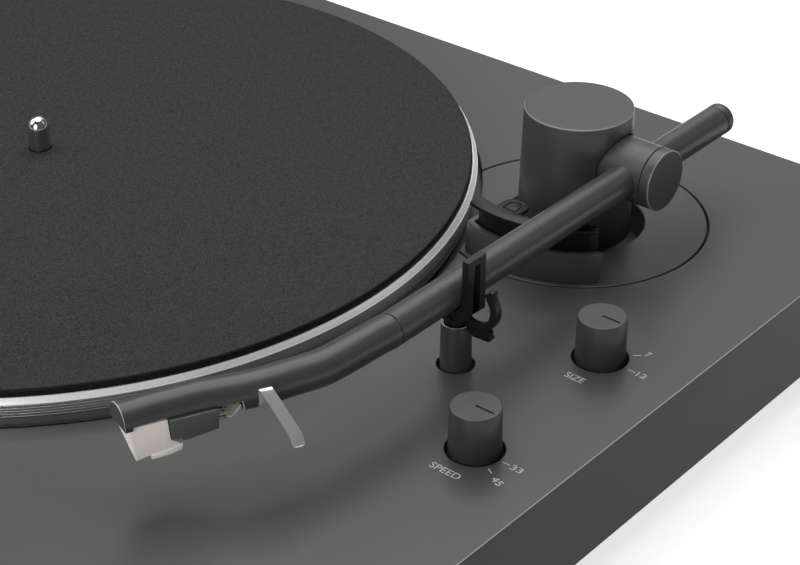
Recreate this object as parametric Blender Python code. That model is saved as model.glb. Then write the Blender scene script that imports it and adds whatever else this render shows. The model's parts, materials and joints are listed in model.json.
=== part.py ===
import math

import bmesh
import bpy
from mathutils import Matrix, Vector

# An automatic belt-drive turntable. Metres, +Z up, +Y to the back, +X to the right.
# The origin lies on the table under the middle of the plinth.

# Shared clearances and counts
GAP = 0.0003
OVERRUN = 0.002
WELD = 0.000001
ROUND_STEPS = 60
MIDDLE_STEPS = 32
SMALL_STEPS = 20
PIN_STEPS = 10
WIRE_STEPS = 6
NOSE_STEPS = 6
CURVE_STEPS = 2

# Plinth
PLINTH_WIDTH = 0.430
PLINTH_DEPTH = 0.366
PLINTH_HEIGHT = 0.0333
FOOT_HEIGHT = 0.012
SHELL_WALL = 0.003
SHELL_TOP = 0.003
EDGE_CHAMFER = 0.0008
CORNER_ROUND = 0.0015
COVER_THICKNESS = 0.0025
WELL_RADIUS = 0.1489
WELL_DEPTH = 0.0045

# Feet and the screws of the base cover
FOOT_RADIUS = 0.018
FOOT_TAPER = 0.002
FOOT_INSET_X = 0.036
FOOT_INSET_Y = 0.034
FOOT_HOLLOW_RADIUS = 0.008
FOOT_HOLLOW = 0.002
BOSS_RADIUS = 0.0045
BOSS_INSET = 0.010
SCREW_HEAD_RADIUS = 0.003
SCREW_HEAD_HEIGHT = 0.0013
SCREW_RADIUS = 0.0014
SCREW_LENGTH = 0.009

# Platter, mat and spindle
SPINDLE_X = -0.0222
SPINDLE_Y = 0.0115
SPINDLE_RADIUS = 0.003575
SPINDLE_RISE = 0.0115
SPINDLE_NOSE = 0.0030
MAT_RISE = 0.0104
MAT_THICKNESS = 0.0024
MAT_RADIUS = 0.1453
MAT_BEVEL = 0.0007
PLATTER_RADIUS = 0.14715
PLATTER_EDGE_HEIGHT = 0.0069
RIM_BEVEL_WIDTH = 0.0014
RIM_BEVEL_DROP = 0.00155
RIM_TAPER = 0.00085
RIM_WALL = 0.006
PLATTER_PLATE = 0.003
BELT_RING_RADIUS = 0.105
BELT_RING_WALL = 0.003
BELT_RING_DEPTH = 0.006
HUB_RADIUS = 0.020
HUB_DEPTH = 0.0033

# Bearing under the platter
BUSH_RADIUS = 0.008
BUSH_LENGTH = 0.019
BUSH_FLANGE_RADIUS = 0.0115
BUSH_FLANGE = 0.0015
THRUST_PAD_RADIUS = 0.006
THRUST_PAD_HEIGHT = 0.0017

# Motor, pulley and belt
MOTOR_DISTANCE = 0.127
MOTOR_BEARING_DEG = 135.0
MOTOR_RADIUS = 0.018
MOTOR_HEIGHT = 0.015
MOTOR_SHAFT_RADIUS = 0.001
MOTOR_SHAFT_DEPTH = 0.010
BRACKET_THICKNESS = 0.0015
BRACKET_RADIUS = 0.030
CUSHION_INNER = 0.022
CUSHION_HEIGHT = 0.004
PULLEY_RADIUS = 0.008
PULLEY_HEIGHT = 0.0052
PULLEY_HOLE_RADIUS = 0.012
BELT_THICKNESS = 0.0006
BELT_HEIGHT = 0.0038
BELT_ABOVE_RING = 0.001

# Return mechanism
HUB_GEAR_RADIUS = 0.012
HUB_GEAR_TEETH = 12
HUB_GEAR_HEIGHT = 0.0037
TOOTH_DEPTH = 0.0018
TOOTH_ROOT_SHARE = 0.30
TOOTH_TIP_SHARE = 0.14
CAM_RADIUS = 0.040
CAM_TEETH = 40
CAM_HEIGHT = 0.0027
CAM_POST_RADIUS = 0.003
CAM_TRACK_INNER = 0.0228
CAM_TRACK_OUTER = 0.0362
CAM_TRACK_DEPTH = 0.0018
FOLLOWER_RADIUS = 0.0015
FOLLOWER_AT_CAM = 0.025
FOLLOWER_REACH = 0.042
FOLLOWER_ENTRY = 0.0012
LEVER_THICKNESS = 0.002
LEVER_WIDTH = 0.008
LEVER_STEP = 0.0002
LEVER_DROP = 0.0053
LEVER_REACH = 0.0833
LEVER_ELBOW_DEG = 62.5
LEVER_SWING_DEG = 12.0
LEVER_POST_RADIUS = 0.003
LEVER_POST_LENGTH = 0.009
LEVER_HUB_RADIUS = 0.0065

# Arm base, turret and barrel
ARM_X = 0.1333
ARM_Y = 0.1025
ARM_BASE_RADIUS = 0.0432
ARM_GROOVE = 0.0007
ARM_FLANGE_RADIUS = 0.047
ARM_FLANGE_HEIGHT = 0.0024
ARM_WELL_RADIUS = 0.023
ARM_CUP_WALL = 0.003
ARM_CUP_DEPTH = 0.0113
ARM_CUP_FLOOR = 0.003
SLEEVE_RADIUS = 0.011
SLEEVE_LENGTH = 0.008
BEARING_RADIUS = 0.0077
ARM_SHAFT_RADIUS = 0.004
ARM_SHAFT_DROP = 0.0135
SECTOR_RADIUS = 0.030
SECTOR_THICKNESS = 0.002
SECTOR_COLLAR_RADIUS = 0.007
SECTOR_START_DEG = 200.0
SECTOR_END_DEG = 250.0
ARC_STEPS = 10
SHORT_ARC_STEPS = 4
TURRET_RADIUS = 0.0175
TURRET_BASE_RADIUS = 0.0186
TURRET_RISE = 0.0408
TURRET_SINK = 0.0025
TURRET_WALL = 0.002
TURRET_EDGE = 0.0006
TURRET_FLOOR = 0.003
TURRET_BOSS_RADIUS = 0.007
TURRET_BOSS_HEIGHT = 0.006
AXLE_RADIUS = 0.002
AXLE_BOSS_RADIUS = 0.005
AXLE_BOSS_LENGTH = 0.009
AXLE_ENTRY = 0.014
BARREL_HEIGHT = 0.02536
BARREL_RADIUS = 0.0099
BARREL_REACH = 0.0337
BARREL_CAP = 0.0035
BARREL_EDGE = 0.0005
BARREL_SLIP = 0.0003

# Arm tube and headshell
TUBE_OFFSET = 0.0233
TUBE_RADIUS = 0.0052
TUBE_BORE = 0.0042
TUBE_CROSS_CLEARANCE = 0.0003
TUBE_REAR = 0.0487
TUBE_CAP = 0.0038
TUBE_CAP_EDGE = 0.0008
TUBE_FRONT = 0.1205
WEIGHT_LENGTH = 0.022
HEAD_REACH = 0.0779
HEAD_OFFSET = 0.0256
HEAD_SIDES = 12
HEAD_BEARING_DEG = 26.1
HEAD_FLAT_LENGTH = 0.0335
HEAD_FLAT_RISE = 0.00014
HEAD_END_WALL = 0.0025
HEAD_END_DROP = 0.00056
HEAD_PATH_SHARES = (
    (0.0, 0.0), (0.0, 0.02), (0.016, 0.058), (0.035, 0.173), (0.063, 0.298), (0.105, 0.359), (0.188, 0.430),
    (0.316, 0.542), (0.477, 0.642), (0.645, 0.730), (0.750, 0.802), (0.852, 0.874),
    (0.926, 0.937), (1.0, 1.0),
)

# Cartridge, stylus holder and stylus, measured back from the head's end along the head
HOLDER_FRONT = 0.0024
HOLDER_REAR = 0.0116
HOLDER_SKIRT_REAR = 0.0150
HOLDER_TOP_HALF = 0.0040
HOLDER_FOOT_HALF = 0.0022
HOLDER_NOSE_HALF = 0.0008
HOLDER_TOP_DROP = 0.0008
HOLDER_DEPTH = 0.0113
HOLDER_NOTCH_DROP = 0.0066
HOLDER_SLOT_HALF = 0.0011
HOLDER_SLOT_FRONT = 0.0042
HOLDER_NOTCH_LEAN_SHARE = 0.55
HOLDER_SKIRT_LEAN_SHARE = 0.62
BODY_REAR = 0.0257
BODY_HALF = 0.0048
BODY_HEIGHT = 0.0072
BODY_RISE = 0.0013
PLUG_RADIUS = 0.0038
PLUG_END = 0.0310
STYLUS_BACK = 0.0046
STYLUS_DROP = 0.0129
CANTILEVER_RADIUS = 0.0004
TIP_HEIGHT = 0.0012
PIN_RADIUS = 0.0005
PIN_LENGTH = 0.0024
PIN_SPACING = 0.0016
LEAD_PLACES_SHARES = (-1.5, -0.5, 0.5, 1.5)
LEAD_RADIUS = 0.0004
LEAD_SAG = 0.0012
LEAD_BUNDLE_RADIUS = 0.0012

# Finger lift on the side of the head
LIFT_THICKNESS = 0.0007
LIFT_BACK = 0.0363
LIFT_WIDTH = 0.0035
LIFT_SKEW = 0.0045
LIFT_REACH = 0.0195
LIFT_ROOT_HEIGHT = 0.0047
LIFT_DROP = 0.0115
# Shares of the reach, the drop and the skew at two places along the strip
LIFT_BEND_SHARES = ((0.55, 0.62, 0.85), (0.80, 0.86, 1.0))

# Arm lifter, concentric with the turret
LIFTER_HOUSING_LEFT = 0.0147
LIFTER_HOUSING_RIGHT = 0.0301
LIFTER_HOUSING_OUTER = 0.0414
LIFTER_HOUSING_TOP_OUTER = 0.04045
LIFTER_HOUSING_INNER = 0.0335
LIFTER_HOUSING_HEIGHT = 0.0100
LIFTER_LEFT = 0.0123
LIFTER_RIGHT = 0.0291
LIFTER_FLANGE_INNER = 0.0363
LIFTER_FLANGE_OUTER = 0.0414
LIFTER_FLANGE = 0.0012
LIFTER_WALL_INNER = 0.0369
LIFTER_WALL_OUTER = 0.0384
LIFTER_WALL_INSET = 0.0014
LIFTER_TUBE_GAP = 0.00156
LIFTER_TAB_INNER = 0.0283
LIFTER_TAB_HALF = 0.00435
LIFTER_TAB_GROOVE = 0.0019
LIFTER_TAB_GROOVE_WIDTH = 0.0005
LIFTER_TAB_GROOVE_DEPTH = 0.0003
LIFTER_ROD_RADIUS = 0.0018
LIFTER_ROD_CIRCLE = 0.0304
LIFTER_ROD_BELOW = 0.0100

# Arm rest: post, clip and latch
REST_Y = 0.0108
POST_OFFSET = 0.0006
POST_RADIUS = 0.0047
POST_TOP_RADIUS = 0.0045
POST_WALL = 0.0008
POST_RISE = 0.0146
POST_HOLE_RADIUS = 0.00565
POST_FLANGE_RADIUS = 0.009
POST_FLANGE = 0.002
STEM_RADIUS = 0.0033
STEM_DEPTH = 0.013
SADDLE_LEFT = 0.0031
SADDLE_HALF = 0.0040
SADDLE_HEIGHT = 0.0049
SADDLE_GAP = 0.00036
CRADLE_RISE = 0.0032
CLIP_PLATE = 0.0023
CLIP_PLATE_TOP = 0.0127
CLIP_SLOT_HALF = 0.0015
CLIP_SLOT_TOP = 0.0022
CLIP_STEP = 0.0001
LATCH_HALF = 0.0012
LATCH_STEP = 0.0001
LATCH_INNER = 0.0057
LATCH_OUTER = 0.0080
LATCH_HINGE_X = 0.0021
LATCH_HINGE_DROP = 0.00726
LATCH_CENTRE_X = 0.0057
LATCH_CENTRE_RISE = 0.0046
LATCH_START_DEG = 213.0
LATCH_END_DEG = 408.0
LATCH_KNUCKLE_RADIUS = 0.0019
LATCH_PIN_RADIUS = 0.0009
LATCH_NUB_RADIUS = 0.0014
LATCH_TAB_WIDTH = 0.0078
LATCH_TAB_DROP = 0.0102
LATCH_TAB_SLOPE = 0.0008

# Speed and size knobs with their switches
KNOB_X = 0.1875
SPEED_KNOB_Y = -0.0187
SIZE_KNOB_Y = 0.0405
KNOB_RADIUS = 0.0073
KNOB_FOOT_RADIUS = 0.0076
KNOB_RISE = 0.01416
KNOB_SINK = 0.0024
KNOB_EDGE = 0.0005
KNOB_HOLE_RADIUS = 0.00846
KNOB_GROOVE_LENGTH = 0.0062
KNOB_GROOVE_WIDTH = 0.0007
KNOB_GROOVE_DEPTH = 0.0004
KNOB_STEM_RADIUS = 0.003
KNOB_STEM_LENGTH = 0.0086
SWITCH_HALF = 0.009
SWITCH_HEIGHT = 0.012

# Front buttons and their board
BUTTON_START_INSET = 0.115
BUTTON_PITCH = 0.034
BUTTON_WIDTH = 0.022
BUTTON_HEIGHT = 0.008
BUTTON_LENGTH = 0.012
BUTTON_CENTRE_HEIGHT = 0.028
BUTTON_FLANGE = 0.0015
BUTTON_TRAVEL = 0.002
BUTTON_CLEARANCE = 0.0004
BUTTON_BOARD_THICKNESS = 0.0016
BUTTON_BOARD_MARGIN = 0.010
BUTTON_BOARD_DEPTH = 0.020

# Main board on the base cover
BOARD_X = 0.130
BOARD_Y = -0.110
BOARD_WIDTH = 0.090
BOARD_DEPTH = 0.060
BOARD_THICKNESS = 0.0016
BOARD_STANDOFF = 0.0035
BOARD_STANDOFF_RADIUS = 0.003
BOARD_STANDOFF_INSET = 0.006
CAPACITOR_RADIUS = 0.005
CAPACITOR_HEIGHT = 0.009
CHIP_WIDTH = 0.014
CHIP_DEPTH = 0.008
CHIP_HEIGHT = 0.003
CAPACITOR_SHARES = ((-0.7, 0.6), (-0.4, 0.6), (0.6, -0.5))
CHIP_SHARES = (-0.3, 0.3)

# Rear panel with its sockets and level switch
REAR_INSET = 0.100
REAR_WIDTH = 0.110
REAR_HEIGHT = 0.017
REAR_CENTRE_HEIGHT = 0.0261
REAR_RECESS = 0.0095
REAR_LIP = 0.0025
REAR_PLATE = 0.002
JACK_PITCH = 0.014
JACK_OFFSET = -0.038
JACK_RADIUS = 0.0042
JACK_BORE = 0.0016
JACK_LENGTH = 0.008
JACK_PLATE = 0.001
INLET_OFFSET = 0.036
INLET_WIDTH = 0.020
INLET_HEIGHT = 0.012
INLET_LENGTH = 0.007
INLET_WALL = 0.0015
LEVEL_OFFSET = 0.002
LEVEL_TRAVEL = 0.003
LEVEL_KNOB = 0.003
LEVEL_KNOB_LENGTH = 0.003
LEVEL_FOOT = 0.0015

# Levels that follow from the sizes above
shell_bottom = FOOT_HEIGHT
plinth_top = FOOT_HEIGHT + PLINTH_HEIGHT
half_width = PLINTH_WIDTH / 2
half_depth = PLINTH_DEPTH / 2
top_underside = plinth_top - SHELL_TOP
button_start_x = half_width - BUTTON_START_INSET
rear_x = REAR_INSET - half_width
cover_top = shell_bottom + COVER_THICKNESS
well_floor = plinth_top - WELL_DEPTH
well_underside = well_floor - SHELL_TOP
mat_top = plinth_top + MAT_RISE
mat_bottom = mat_top - MAT_THICKNESS
platter_face = mat_bottom - GAP
platter_under = platter_face - PLATTER_PLATE
spindle = Vector((SPINDLE_X, SPINDLE_Y, 0))
arm = Vector((ARM_X, ARM_Y, 0))
arm_level = plinth_top + BARREL_HEIGHT
tube_x = ARM_X + TUBE_OFFSET
tube_under = arm_level - TUBE_RADIUS
seam_y = ARM_Y - TUBE_FRONT

TURNS = {
    "X": Matrix(((0, 0, 1, 0), (1, 0, 0, 0), (0, 1, 0, 0), (0, 0, 0, 1))),
    "Y": Matrix(((0, 1, 0, 0), (0, 0, 1, 0), (1, 0, 0, 0), (0, 0, 0, 1))),
    "Z": Matrix.Identity(4),
}

# Colour, roughness and metallic value of each finish
FINISHES = {
    "satin_case": ((0.085, 0.085, 0.088), 0.42, 0.0),
    "black_plastic": ((0.012, 0.012, 0.013), 0.50, 0.0),
    "grey_plastic": ((0.05, 0.05, 0.053), 0.45, 0.0),
    "pale_plastic": ((0.42, 0.39, 0.37), 0.45, 0.0),
    "white_plastic": ((0.70, 0.70, 0.68), 0.50, 0.0),
    "rubber": ((0.015, 0.015, 0.015), 0.85, 0.0),
    "aluminium": ((0.62, 0.62, 0.63), 0.32, 1.0),
    "steel": ((0.50, 0.50, 0.52), 0.28, 1.0),
    "chrome": ((0.75, 0.75, 0.76), 0.12, 1.0),
    "brass": ((0.70, 0.52, 0.25), 0.30, 1.0),
    "dark_metal": ((0.09, 0.09, 0.095), 0.36, 0.6),
    "circuit_board": ((0.02, 0.10, 0.04), 0.55, 0.0),
}

axis_places = {}


# Modelling helpers

def link_mesh(name, bm):
    bmesh.ops.remove_doubles(bm, verts=bm.verts, dist=WELD)
    bmesh.ops.recalc_face_normals(bm, faces=bm.faces)
    mesh = bpy.data.meshes.new(name)
    bm.to_mesh(mesh)
    bm.free()
    made = bpy.data.objects.new(name, mesh)
    bpy.context.scene.collection.objects.link(made)
    return made


def block(name, low, high):
    bm = bmesh.new()
    bmesh.ops.create_cube(bm, size=1)
    low, high = Vector(low), Vector(high)
    for vert in bm.verts:
        vert.co = (low + high) / 2 + vert.co * (high - low)
    return link_mesh(name, bm)


def turned(name, profile, centre, axis="Z", steps=ROUND_STEPS):
    # Profile points are (radius, place along the axis); the centre is in the two other directions,
    # in the order X Y for axis Z, Y Z for axis X and Z X for axis Y.
    bm = bmesh.new()
    verts = [bm.verts.new((radius, 0, height)) for radius, height in profile]
    edges = [bm.edges.new(pair) for pair in zip(verts, verts[1:])]
    if profile[0][0] > WELD and profile[-1][0] > WELD:
        edges.append(bm.edges.new((verts[-1], verts[0])))
    bmesh.ops.spin(bm, geom=verts + edges, cent=(0, 0, 0), axis=(0, 0, 1), angle=math.tau, steps=steps)
    placing = TURNS[axis] @ Matrix.Translation((centre[0], centre[1], 0))
    bmesh.ops.transform(bm, matrix=placing, verts=bm.verts)
    return link_mesh(name, bm)


def rod(name, radius, low, high, centre, axis="Z", steps=SMALL_STEPS):
    return turned(name, [(0, low), (radius, low), (radius, high), (0, high)], centre, axis, steps)


def ring(name, inner, outer, low, high, centre, axis="Z", steps=SMALL_STEPS):
    profile = [(inner, low), (outer, low), (outer, high), (inner, high)]
    return turned(name, profile, centre, axis, steps)


def lofted(name, rings, axis="Z"):
    # Joins closed rings of points, each with the same number of points, and caps both ends.
    bm = bmesh.new()
    loops = [[bm.verts.new(point) for point in points] for points in rings]
    for lower, upper in zip(loops, loops[1:]):
        for index in range(len(lower)):
            after = (index + 1) % len(lower)
            bm.faces.new((lower[index], lower[after], upper[after], upper[index]))
    bm.faces.new(loops[0])
    bm.faces.new(loops[-1])
    bmesh.ops.transform(bm, matrix=TURNS[axis], verts=bm.verts)
    return link_mesh(name, bm)


def extruded(name, outline, low, high, axis="Z"):
    rings = [[(u, v, level) for u, v in outline] for level in (low, high)]
    return lofted(name, rings, axis)


def combine(made, tools, operation):
    for tool in tools:
        modifier = made.modifiers.new(operation.lower(), "BOOLEAN")
        modifier.operation = operation
        modifier.solver = "EXACT"
        modifier.object = tool
        depsgraph = bpy.context.evaluated_depsgraph_get()
        result = bpy.data.meshes.new_from_object(made.evaluated_get(depsgraph))
        made.modifiers.clear()
        made.data = result
        bpy.data.objects.remove(tool)
    return made


def cut(made, *tools):
    return combine(made, tools, "DIFFERENCE")


def unite(made, *tools):
    return combine(made, tools, "UNION")


def grouped(pieces):
    # Several separate tools as one, so that a Boolean takes them together
    bm = bmesh.new()
    for piece in pieces:
        bm.from_mesh(piece.data)
        bpy.data.objects.remove(piece)
    return link_mesh("tools", bm)


def bevel_edges(made, width, chosen, steps=1):
    bm = bmesh.new()
    bm.from_mesh(made.data)
    edges = [edge for edge in bm.edges if chosen(edge)]
    bmesh.ops.bevel(bm, geom=edges, offset=width, segments=steps, affect="EDGES", profile=0.5)
    bm.to_mesh(made.data)
    bm.free()
    return made


def arc(radius, start, end, steps, centre=(0, 0)):
    angles = [start + (end - start) * step / steps for step in range(steps + 1)]
    return [(centre[0] + radius * math.cos(a), centre[1] + radius * math.sin(a)) for a in angles]


def axis_mark(name, place, parent=None):
    mark = bpy.data.objects.new(name, None)
    bpy.context.scene.collection.objects.link(mark)
    place = Vector(place)
    axis_places[name] = place
    mark.parent = parent
    mark.location = place - axis_places[parent.name] if parent else place
    mark.empty_display_size = TUBE_RADIUS
    return mark


def finish(made, look, axis=None):
    colour, roughness, metallic = FINISHES[look]
    surface = bpy.data.materials.new(made.name + "_" + look)
    surface.use_nodes = True
    shader = surface.node_tree.nodes["Principled BSDF"]
    shader.inputs["Base Color"].default_value = (*colour, 1)
    shader.inputs["Roughness"].default_value = roughness
    shader.inputs["Metallic"].default_value = metallic
    made.data.materials.clear()
    made.data.materials.append(surface)
    made.data.shade_smooth()
    made.data.set_sharp_from_angle(angle=math.radians(30))
    if axis:
        made.data.transform(Matrix.Translation(-axis_places[axis.name]))
        made.parent = axis
    return made


def direction(degrees):
    return Vector((math.cos(math.radians(degrees)), math.sin(math.radians(degrees)), 0))


def corners_at(x, y):
    return {"front_left": (-x, -y), "front_right": (x, -y), "rear_left": (-x, y), "rear_right": (x, y)}


# Places that several pieces share
towards_arm = (arm - spindle).normalized()
across_arm = Vector((-towards_arm.y, towards_arm.x, 0))
cam_centre = spindle + towards_arm * (HUB_GEAR_RADIUS + CAM_RADIUS + GAP)
follower_place = cam_centre + towards_arm * FOLLOWER_AT_CAM
lever_pivot = follower_place - across_arm * FOLLOWER_REACH
follower_deg = math.degrees(math.atan2(across_arm.y, across_arm.x))
lever_tip = lever_pivot + direction(follower_deg - LEVER_ELBOW_DEG) * LEVER_REACH
lever_top = well_underside - LEVER_DROP
motor = spindle + direction(MOTOR_BEARING_DEG) * MOTOR_DISTANCE
bracket_top = well_underside - GAP - CUSHION_HEIGHT - GAP
motor_top = bracket_top - BRACKET_THICKNESS - GAP
boss_x = half_width - BOSS_INSET
boss_y = half_depth - BOSS_INSET
boss_places = corners_at(boss_x, boss_y)
foot_x = half_width - FOOT_INSET_X
foot_y = half_depth - FOOT_INSET_Y
foot_places = corners_at(foot_x, foot_y)
knob_places = {"speed": (KNOB_X, SPEED_KNOB_Y), "size": (KNOB_X, SIZE_KNOB_Y)}
post_centre = (tube_x + POST_OFFSET, REST_Y)
button_names = ("start", "stop", "lift")
ring_bottom = platter_under - BELT_RING_DEPTH
belt_bottom = ring_bottom + BELT_ABOVE_RING
arm_cup_bottom = plinth_top - ARM_CUP_DEPTH
lifter_rod = (ARM_X, ARM_Y - LIFTER_ROD_CIRCLE)
lifter_top = tube_under - LIFTER_TUBE_GAP
rear_y = half_depth - REAR_RECESS
rear_left = rear_x - REAR_WIDTH / 2
rear_right = rear_x + REAR_WIDTH / 2
rear_low = REAR_CENTRE_HEIGHT - REAR_HEIGHT / 2
rear_high = REAR_CENTRE_HEIGHT + REAR_HEIGHT / 2


# Plinth

def button_box(name, index, spread, front, back):
    x = button_start_x + BUTTON_PITCH * index
    half = BUTTON_WIDTH / 2 + spread
    tall = BUTTON_HEIGHT / 2 + spread
    low = (x - half, front, BUTTON_CENTRE_HEIGHT - tall)
    high = (x + half, back, BUTTON_CENTRE_HEIGHT + tall)
    return block(name, low, high)


def follower_slot():
    half = FOLLOWER_RADIUS + GAP * 2
    start = math.radians(follower_deg - LEVER_SWING_DEG) - half / FOLLOWER_REACH
    end = math.radians(follower_deg) + half / FOLLOWER_REACH
    outline = arc(FOLLOWER_REACH + half, start, end, ARC_STEPS, lever_pivot)
    outline += arc(FOLLOWER_REACH - half, end, start, ARC_STEPS, lever_pivot)
    return extruded("follower_slot", outline, well_underside - OVERRUN, well_floor + OVERRUN)


def make_plinth_shell():
    low = (-half_width, -half_depth, shell_bottom)
    shell = block("plinth_shell", low, (half_width, half_depth, plinth_top))
    upright = lambda edge: abs((edge.verts[0].co - edge.verts[1].co).z) > WELD
    bevel_edges(shell, CORNER_ROUND, upright, 3)
    on_top = lambda edge: min(vert.co.z for vert in edge.verts) > plinth_top - WELD
    bevel_edges(shell, EDGE_CHAMFER, on_top)
    inner_x = half_width - SHELL_WALL
    inner_y = half_depth - SHELL_WALL
    cut(shell, block("cavity", (-inner_x, -inner_y, shell_bottom - OVERRUN),
                     (inner_x, inner_y, top_underside)))
    plate_middle = plinth_top - SHELL_TOP / 2
    additions = [rod("well", WELL_RADIUS + SHELL_WALL, well_underside, plate_middle, spindle,
                     steps=ROUND_STEPS)]
    for place in boss_places.values():
        additions.append(rod("boss", BOSS_RADIUS, cover_top + GAP, plate_middle, place, steps=PIN_STEPS))
    unite(shell, grouped(additions))
    cut(shell, rod("well", WELL_RADIUS, well_floor, plinth_top + OVERRUN, spindle, steps=ROUND_STEPS))
    post_top = well_floor + GAP + CAM_HEIGHT
    unite(
        shell,
        rod("cam_post", CAM_POST_RADIUS, well_floor - SHELL_TOP / 2, post_top, cam_centre, steps=PIN_STEPS),
        rod("lever_post", LEVER_POST_RADIUS, lever_top - LEVER_POST_LENGTH,
            well_floor - SHELL_TOP / 2, lever_pivot, steps=PIN_STEPS),
    )
    holes = [
        rod("arm_hole", ARM_BASE_RADIUS + ARM_GROOVE, top_underside - GAP,
            plinth_top + OVERRUN, arm, steps=ROUND_STEPS),
        rod("bush_hole", BUSH_RADIUS + GAP, well_underside - OVERRUN, well_floor + OVERRUN, spindle),
        rod("pulley_hole", PULLEY_HOLE_RADIUS, well_underside - OVERRUN, well_floor + OVERRUN, motor),
        rod("post_hole", POST_HOLE_RADIUS, top_underside - OVERRUN, plinth_top + OVERRUN, post_centre),
        follower_slot(),
    ]
    for place in knob_places.values():
        holes.append(rod("knob_hole", KNOB_HOLE_RADIUS, top_underside - OVERRUN, plinth_top + OVERRUN, place))
    for place in boss_places.values():
        holes.append(rod("pilot", SCREW_RADIUS + GAP, shell_bottom, shell_bottom + SCREW_LENGTH + OVERRUN,
                         place, steps=PIN_STEPS))
    for index in range(len(button_names)):
        holes.append(button_box("button_hole", index, BUTTON_CLEARANCE,
                                -half_depth - OVERRUN, -inner_y + OVERRUN))
    holes.append(block("rear_opening", (rear_left, inner_y - OVERRUN, rear_low),
                       (rear_right, half_depth + OVERRUN, rear_high)))
    cut(shell, grouped(holes))
    return finish(shell, "satin_case")


def make_base_cover():
    edge_x = half_width - SHELL_WALL - GAP
    edge_y = half_depth - SHELL_WALL - GAP
    cover = block("base_cover", (-edge_x, -edge_y, shell_bottom), (edge_x, edge_y, cover_top))
    inner_x = BOARD_WIDTH / 2 - BOARD_STANDOFF_INSET
    inner_y = BOARD_DEPTH / 2 - BOARD_STANDOFF_INSET
    middle = cover_top - COVER_THICKNESS / 2
    for x in (BOARD_X - inner_x, BOARD_X + inner_x):
        for y in (BOARD_Y - inner_y, BOARD_Y + inner_y):
            unite(cover, rod("standoff", BOARD_STANDOFF_RADIUS, middle, cover_top + BOARD_STANDOFF,
                             (x, y), steps=PIN_STEPS))
    recess_top = shell_bottom + SCREW_HEAD_HEIGHT
    for place in boss_places.values():
        cut(
            cover,
            rod("recess", SCREW_HEAD_RADIUS + GAP, shell_bottom - OVERRUN, recess_top, place, steps=PIN_STEPS),
            rod("hole", SCREW_RADIUS + GAP, shell_bottom - OVERRUN, cover_top + OVERRUN, place, steps=PIN_STEPS),
        )
    return finish(cover, "black_plastic")


def make_base_screws():
    head_top = shell_bottom + SCREW_HEAD_HEIGHT - GAP
    for corner, place in boss_places.items():
        profile = [
            (0, head_top - SCREW_HEAD_HEIGHT), (SCREW_HEAD_RADIUS, head_top - SCREW_HEAD_HEIGHT),
            (SCREW_HEAD_RADIUS, head_top), (SCREW_RADIUS, head_top),
            (SCREW_RADIUS, shell_bottom + SCREW_LENGTH), (0, shell_bottom + SCREW_LENGTH),
        ]
        finish(turned("base_screw_" + corner, profile, place, steps=PIN_STEPS), "steel")


def make_feet():
    # A soft foot with a raised ring to stand on
    top = FOOT_HEIGHT - GAP
    for corner, place in foot_places.items():
        profile = [
            (0, FOOT_HOLLOW), (FOOT_HOLLOW_RADIUS, FOOT_HOLLOW), (FOOT_HOLLOW_RADIUS, 0),
            (FOOT_RADIUS - FOOT_TAPER, 0), (FOOT_RADIUS, top), (0, top),
        ]
        finish(turned("foot_" + corner, profile, place, steps=SMALL_STEPS), "rubber")


# Platter and bearing

def make_platter(axis):
    lip = PLATTER_RADIUS - RIM_BEVEL_WIDTH
    rim_bottom = mat_bottom - PLATTER_EDGE_HEIGHT
    profile = [
        (SPINDLE_RADIUS + GAP, platter_under - HUB_DEPTH), (HUB_RADIUS, platter_under - HUB_DEPTH),
        (HUB_RADIUS, platter_under), (BELT_RING_RADIUS - BELT_RING_WALL, platter_under),
        (BELT_RING_RADIUS - BELT_RING_WALL, ring_bottom), (BELT_RING_RADIUS, ring_bottom),
        (BELT_RING_RADIUS, platter_under), (PLATTER_RADIUS - RIM_WALL, platter_under),
        (PLATTER_RADIUS - RIM_WALL, rim_bottom), (PLATTER_RADIUS - RIM_TAPER, rim_bottom),
        (PLATTER_RADIUS, mat_bottom - RIM_BEVEL_DROP), (lip, mat_bottom),
        (lip - GAP, platter_face), (SPINDLE_RADIUS + GAP, platter_face),
    ]
    finish(turned("platter", profile, spindle), "aluminium", axis)


def make_slip_mat(axis):
    foot = PLATTER_RADIUS - RIM_BEVEL_WIDTH - GAP
    bore = SPINDLE_RADIUS + GAP
    profile = [
        (bore, mat_bottom), (foot - GAP, mat_bottom), (foot - GAP, mat_top - MAT_BEVEL),
        (MAT_RADIUS - MAT_BEVEL, mat_top), (bore, mat_top),
    ]
    finish(turned("slip_mat", profile, spindle), "rubber", axis)


def make_spindle(axis):
    bottom = well_floor + GAP + BUSH_FLANGE - BUSH_LENGTH
    top = mat_top + SPINDLE_RISE
    nose = [
        (SPINDLE_RADIUS * math.cos(a), top - SPINDLE_NOSE + SPINDLE_NOSE * math.sin(a))
        for a in [math.pi / 2 * step / NOSE_STEPS for step in range(NOSE_STEPS)]
    ]
    profile = [(0, bottom), (SPINDLE_RADIUS, bottom)] + nose + [(0, top)]
    finish(turned("spindle", profile, spindle, steps=SMALL_STEPS), "chrome", axis)


def make_bearing():
    top = well_floor + GAP + BUSH_FLANGE
    bottom = top - BUSH_LENGTH
    bore = SPINDLE_RADIUS + GAP
    profile = [
        (bore, bottom), (BUSH_RADIUS, bottom), (BUSH_RADIUS, well_floor + GAP),
        (BUSH_FLANGE_RADIUS, well_floor + GAP), (BUSH_FLANGE_RADIUS, top), (bore, top),
    ]
    finish(turned("bearing_bush", profile, spindle, steps=SMALL_STEPS), "brass")
    pad_top = bottom - GAP
    pad = rod("thrust_pad", THRUST_PAD_RADIUS, pad_top - THRUST_PAD_HEIGHT, pad_top, spindle)
    finish(pad, "white_plastic")


# Gears

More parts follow.
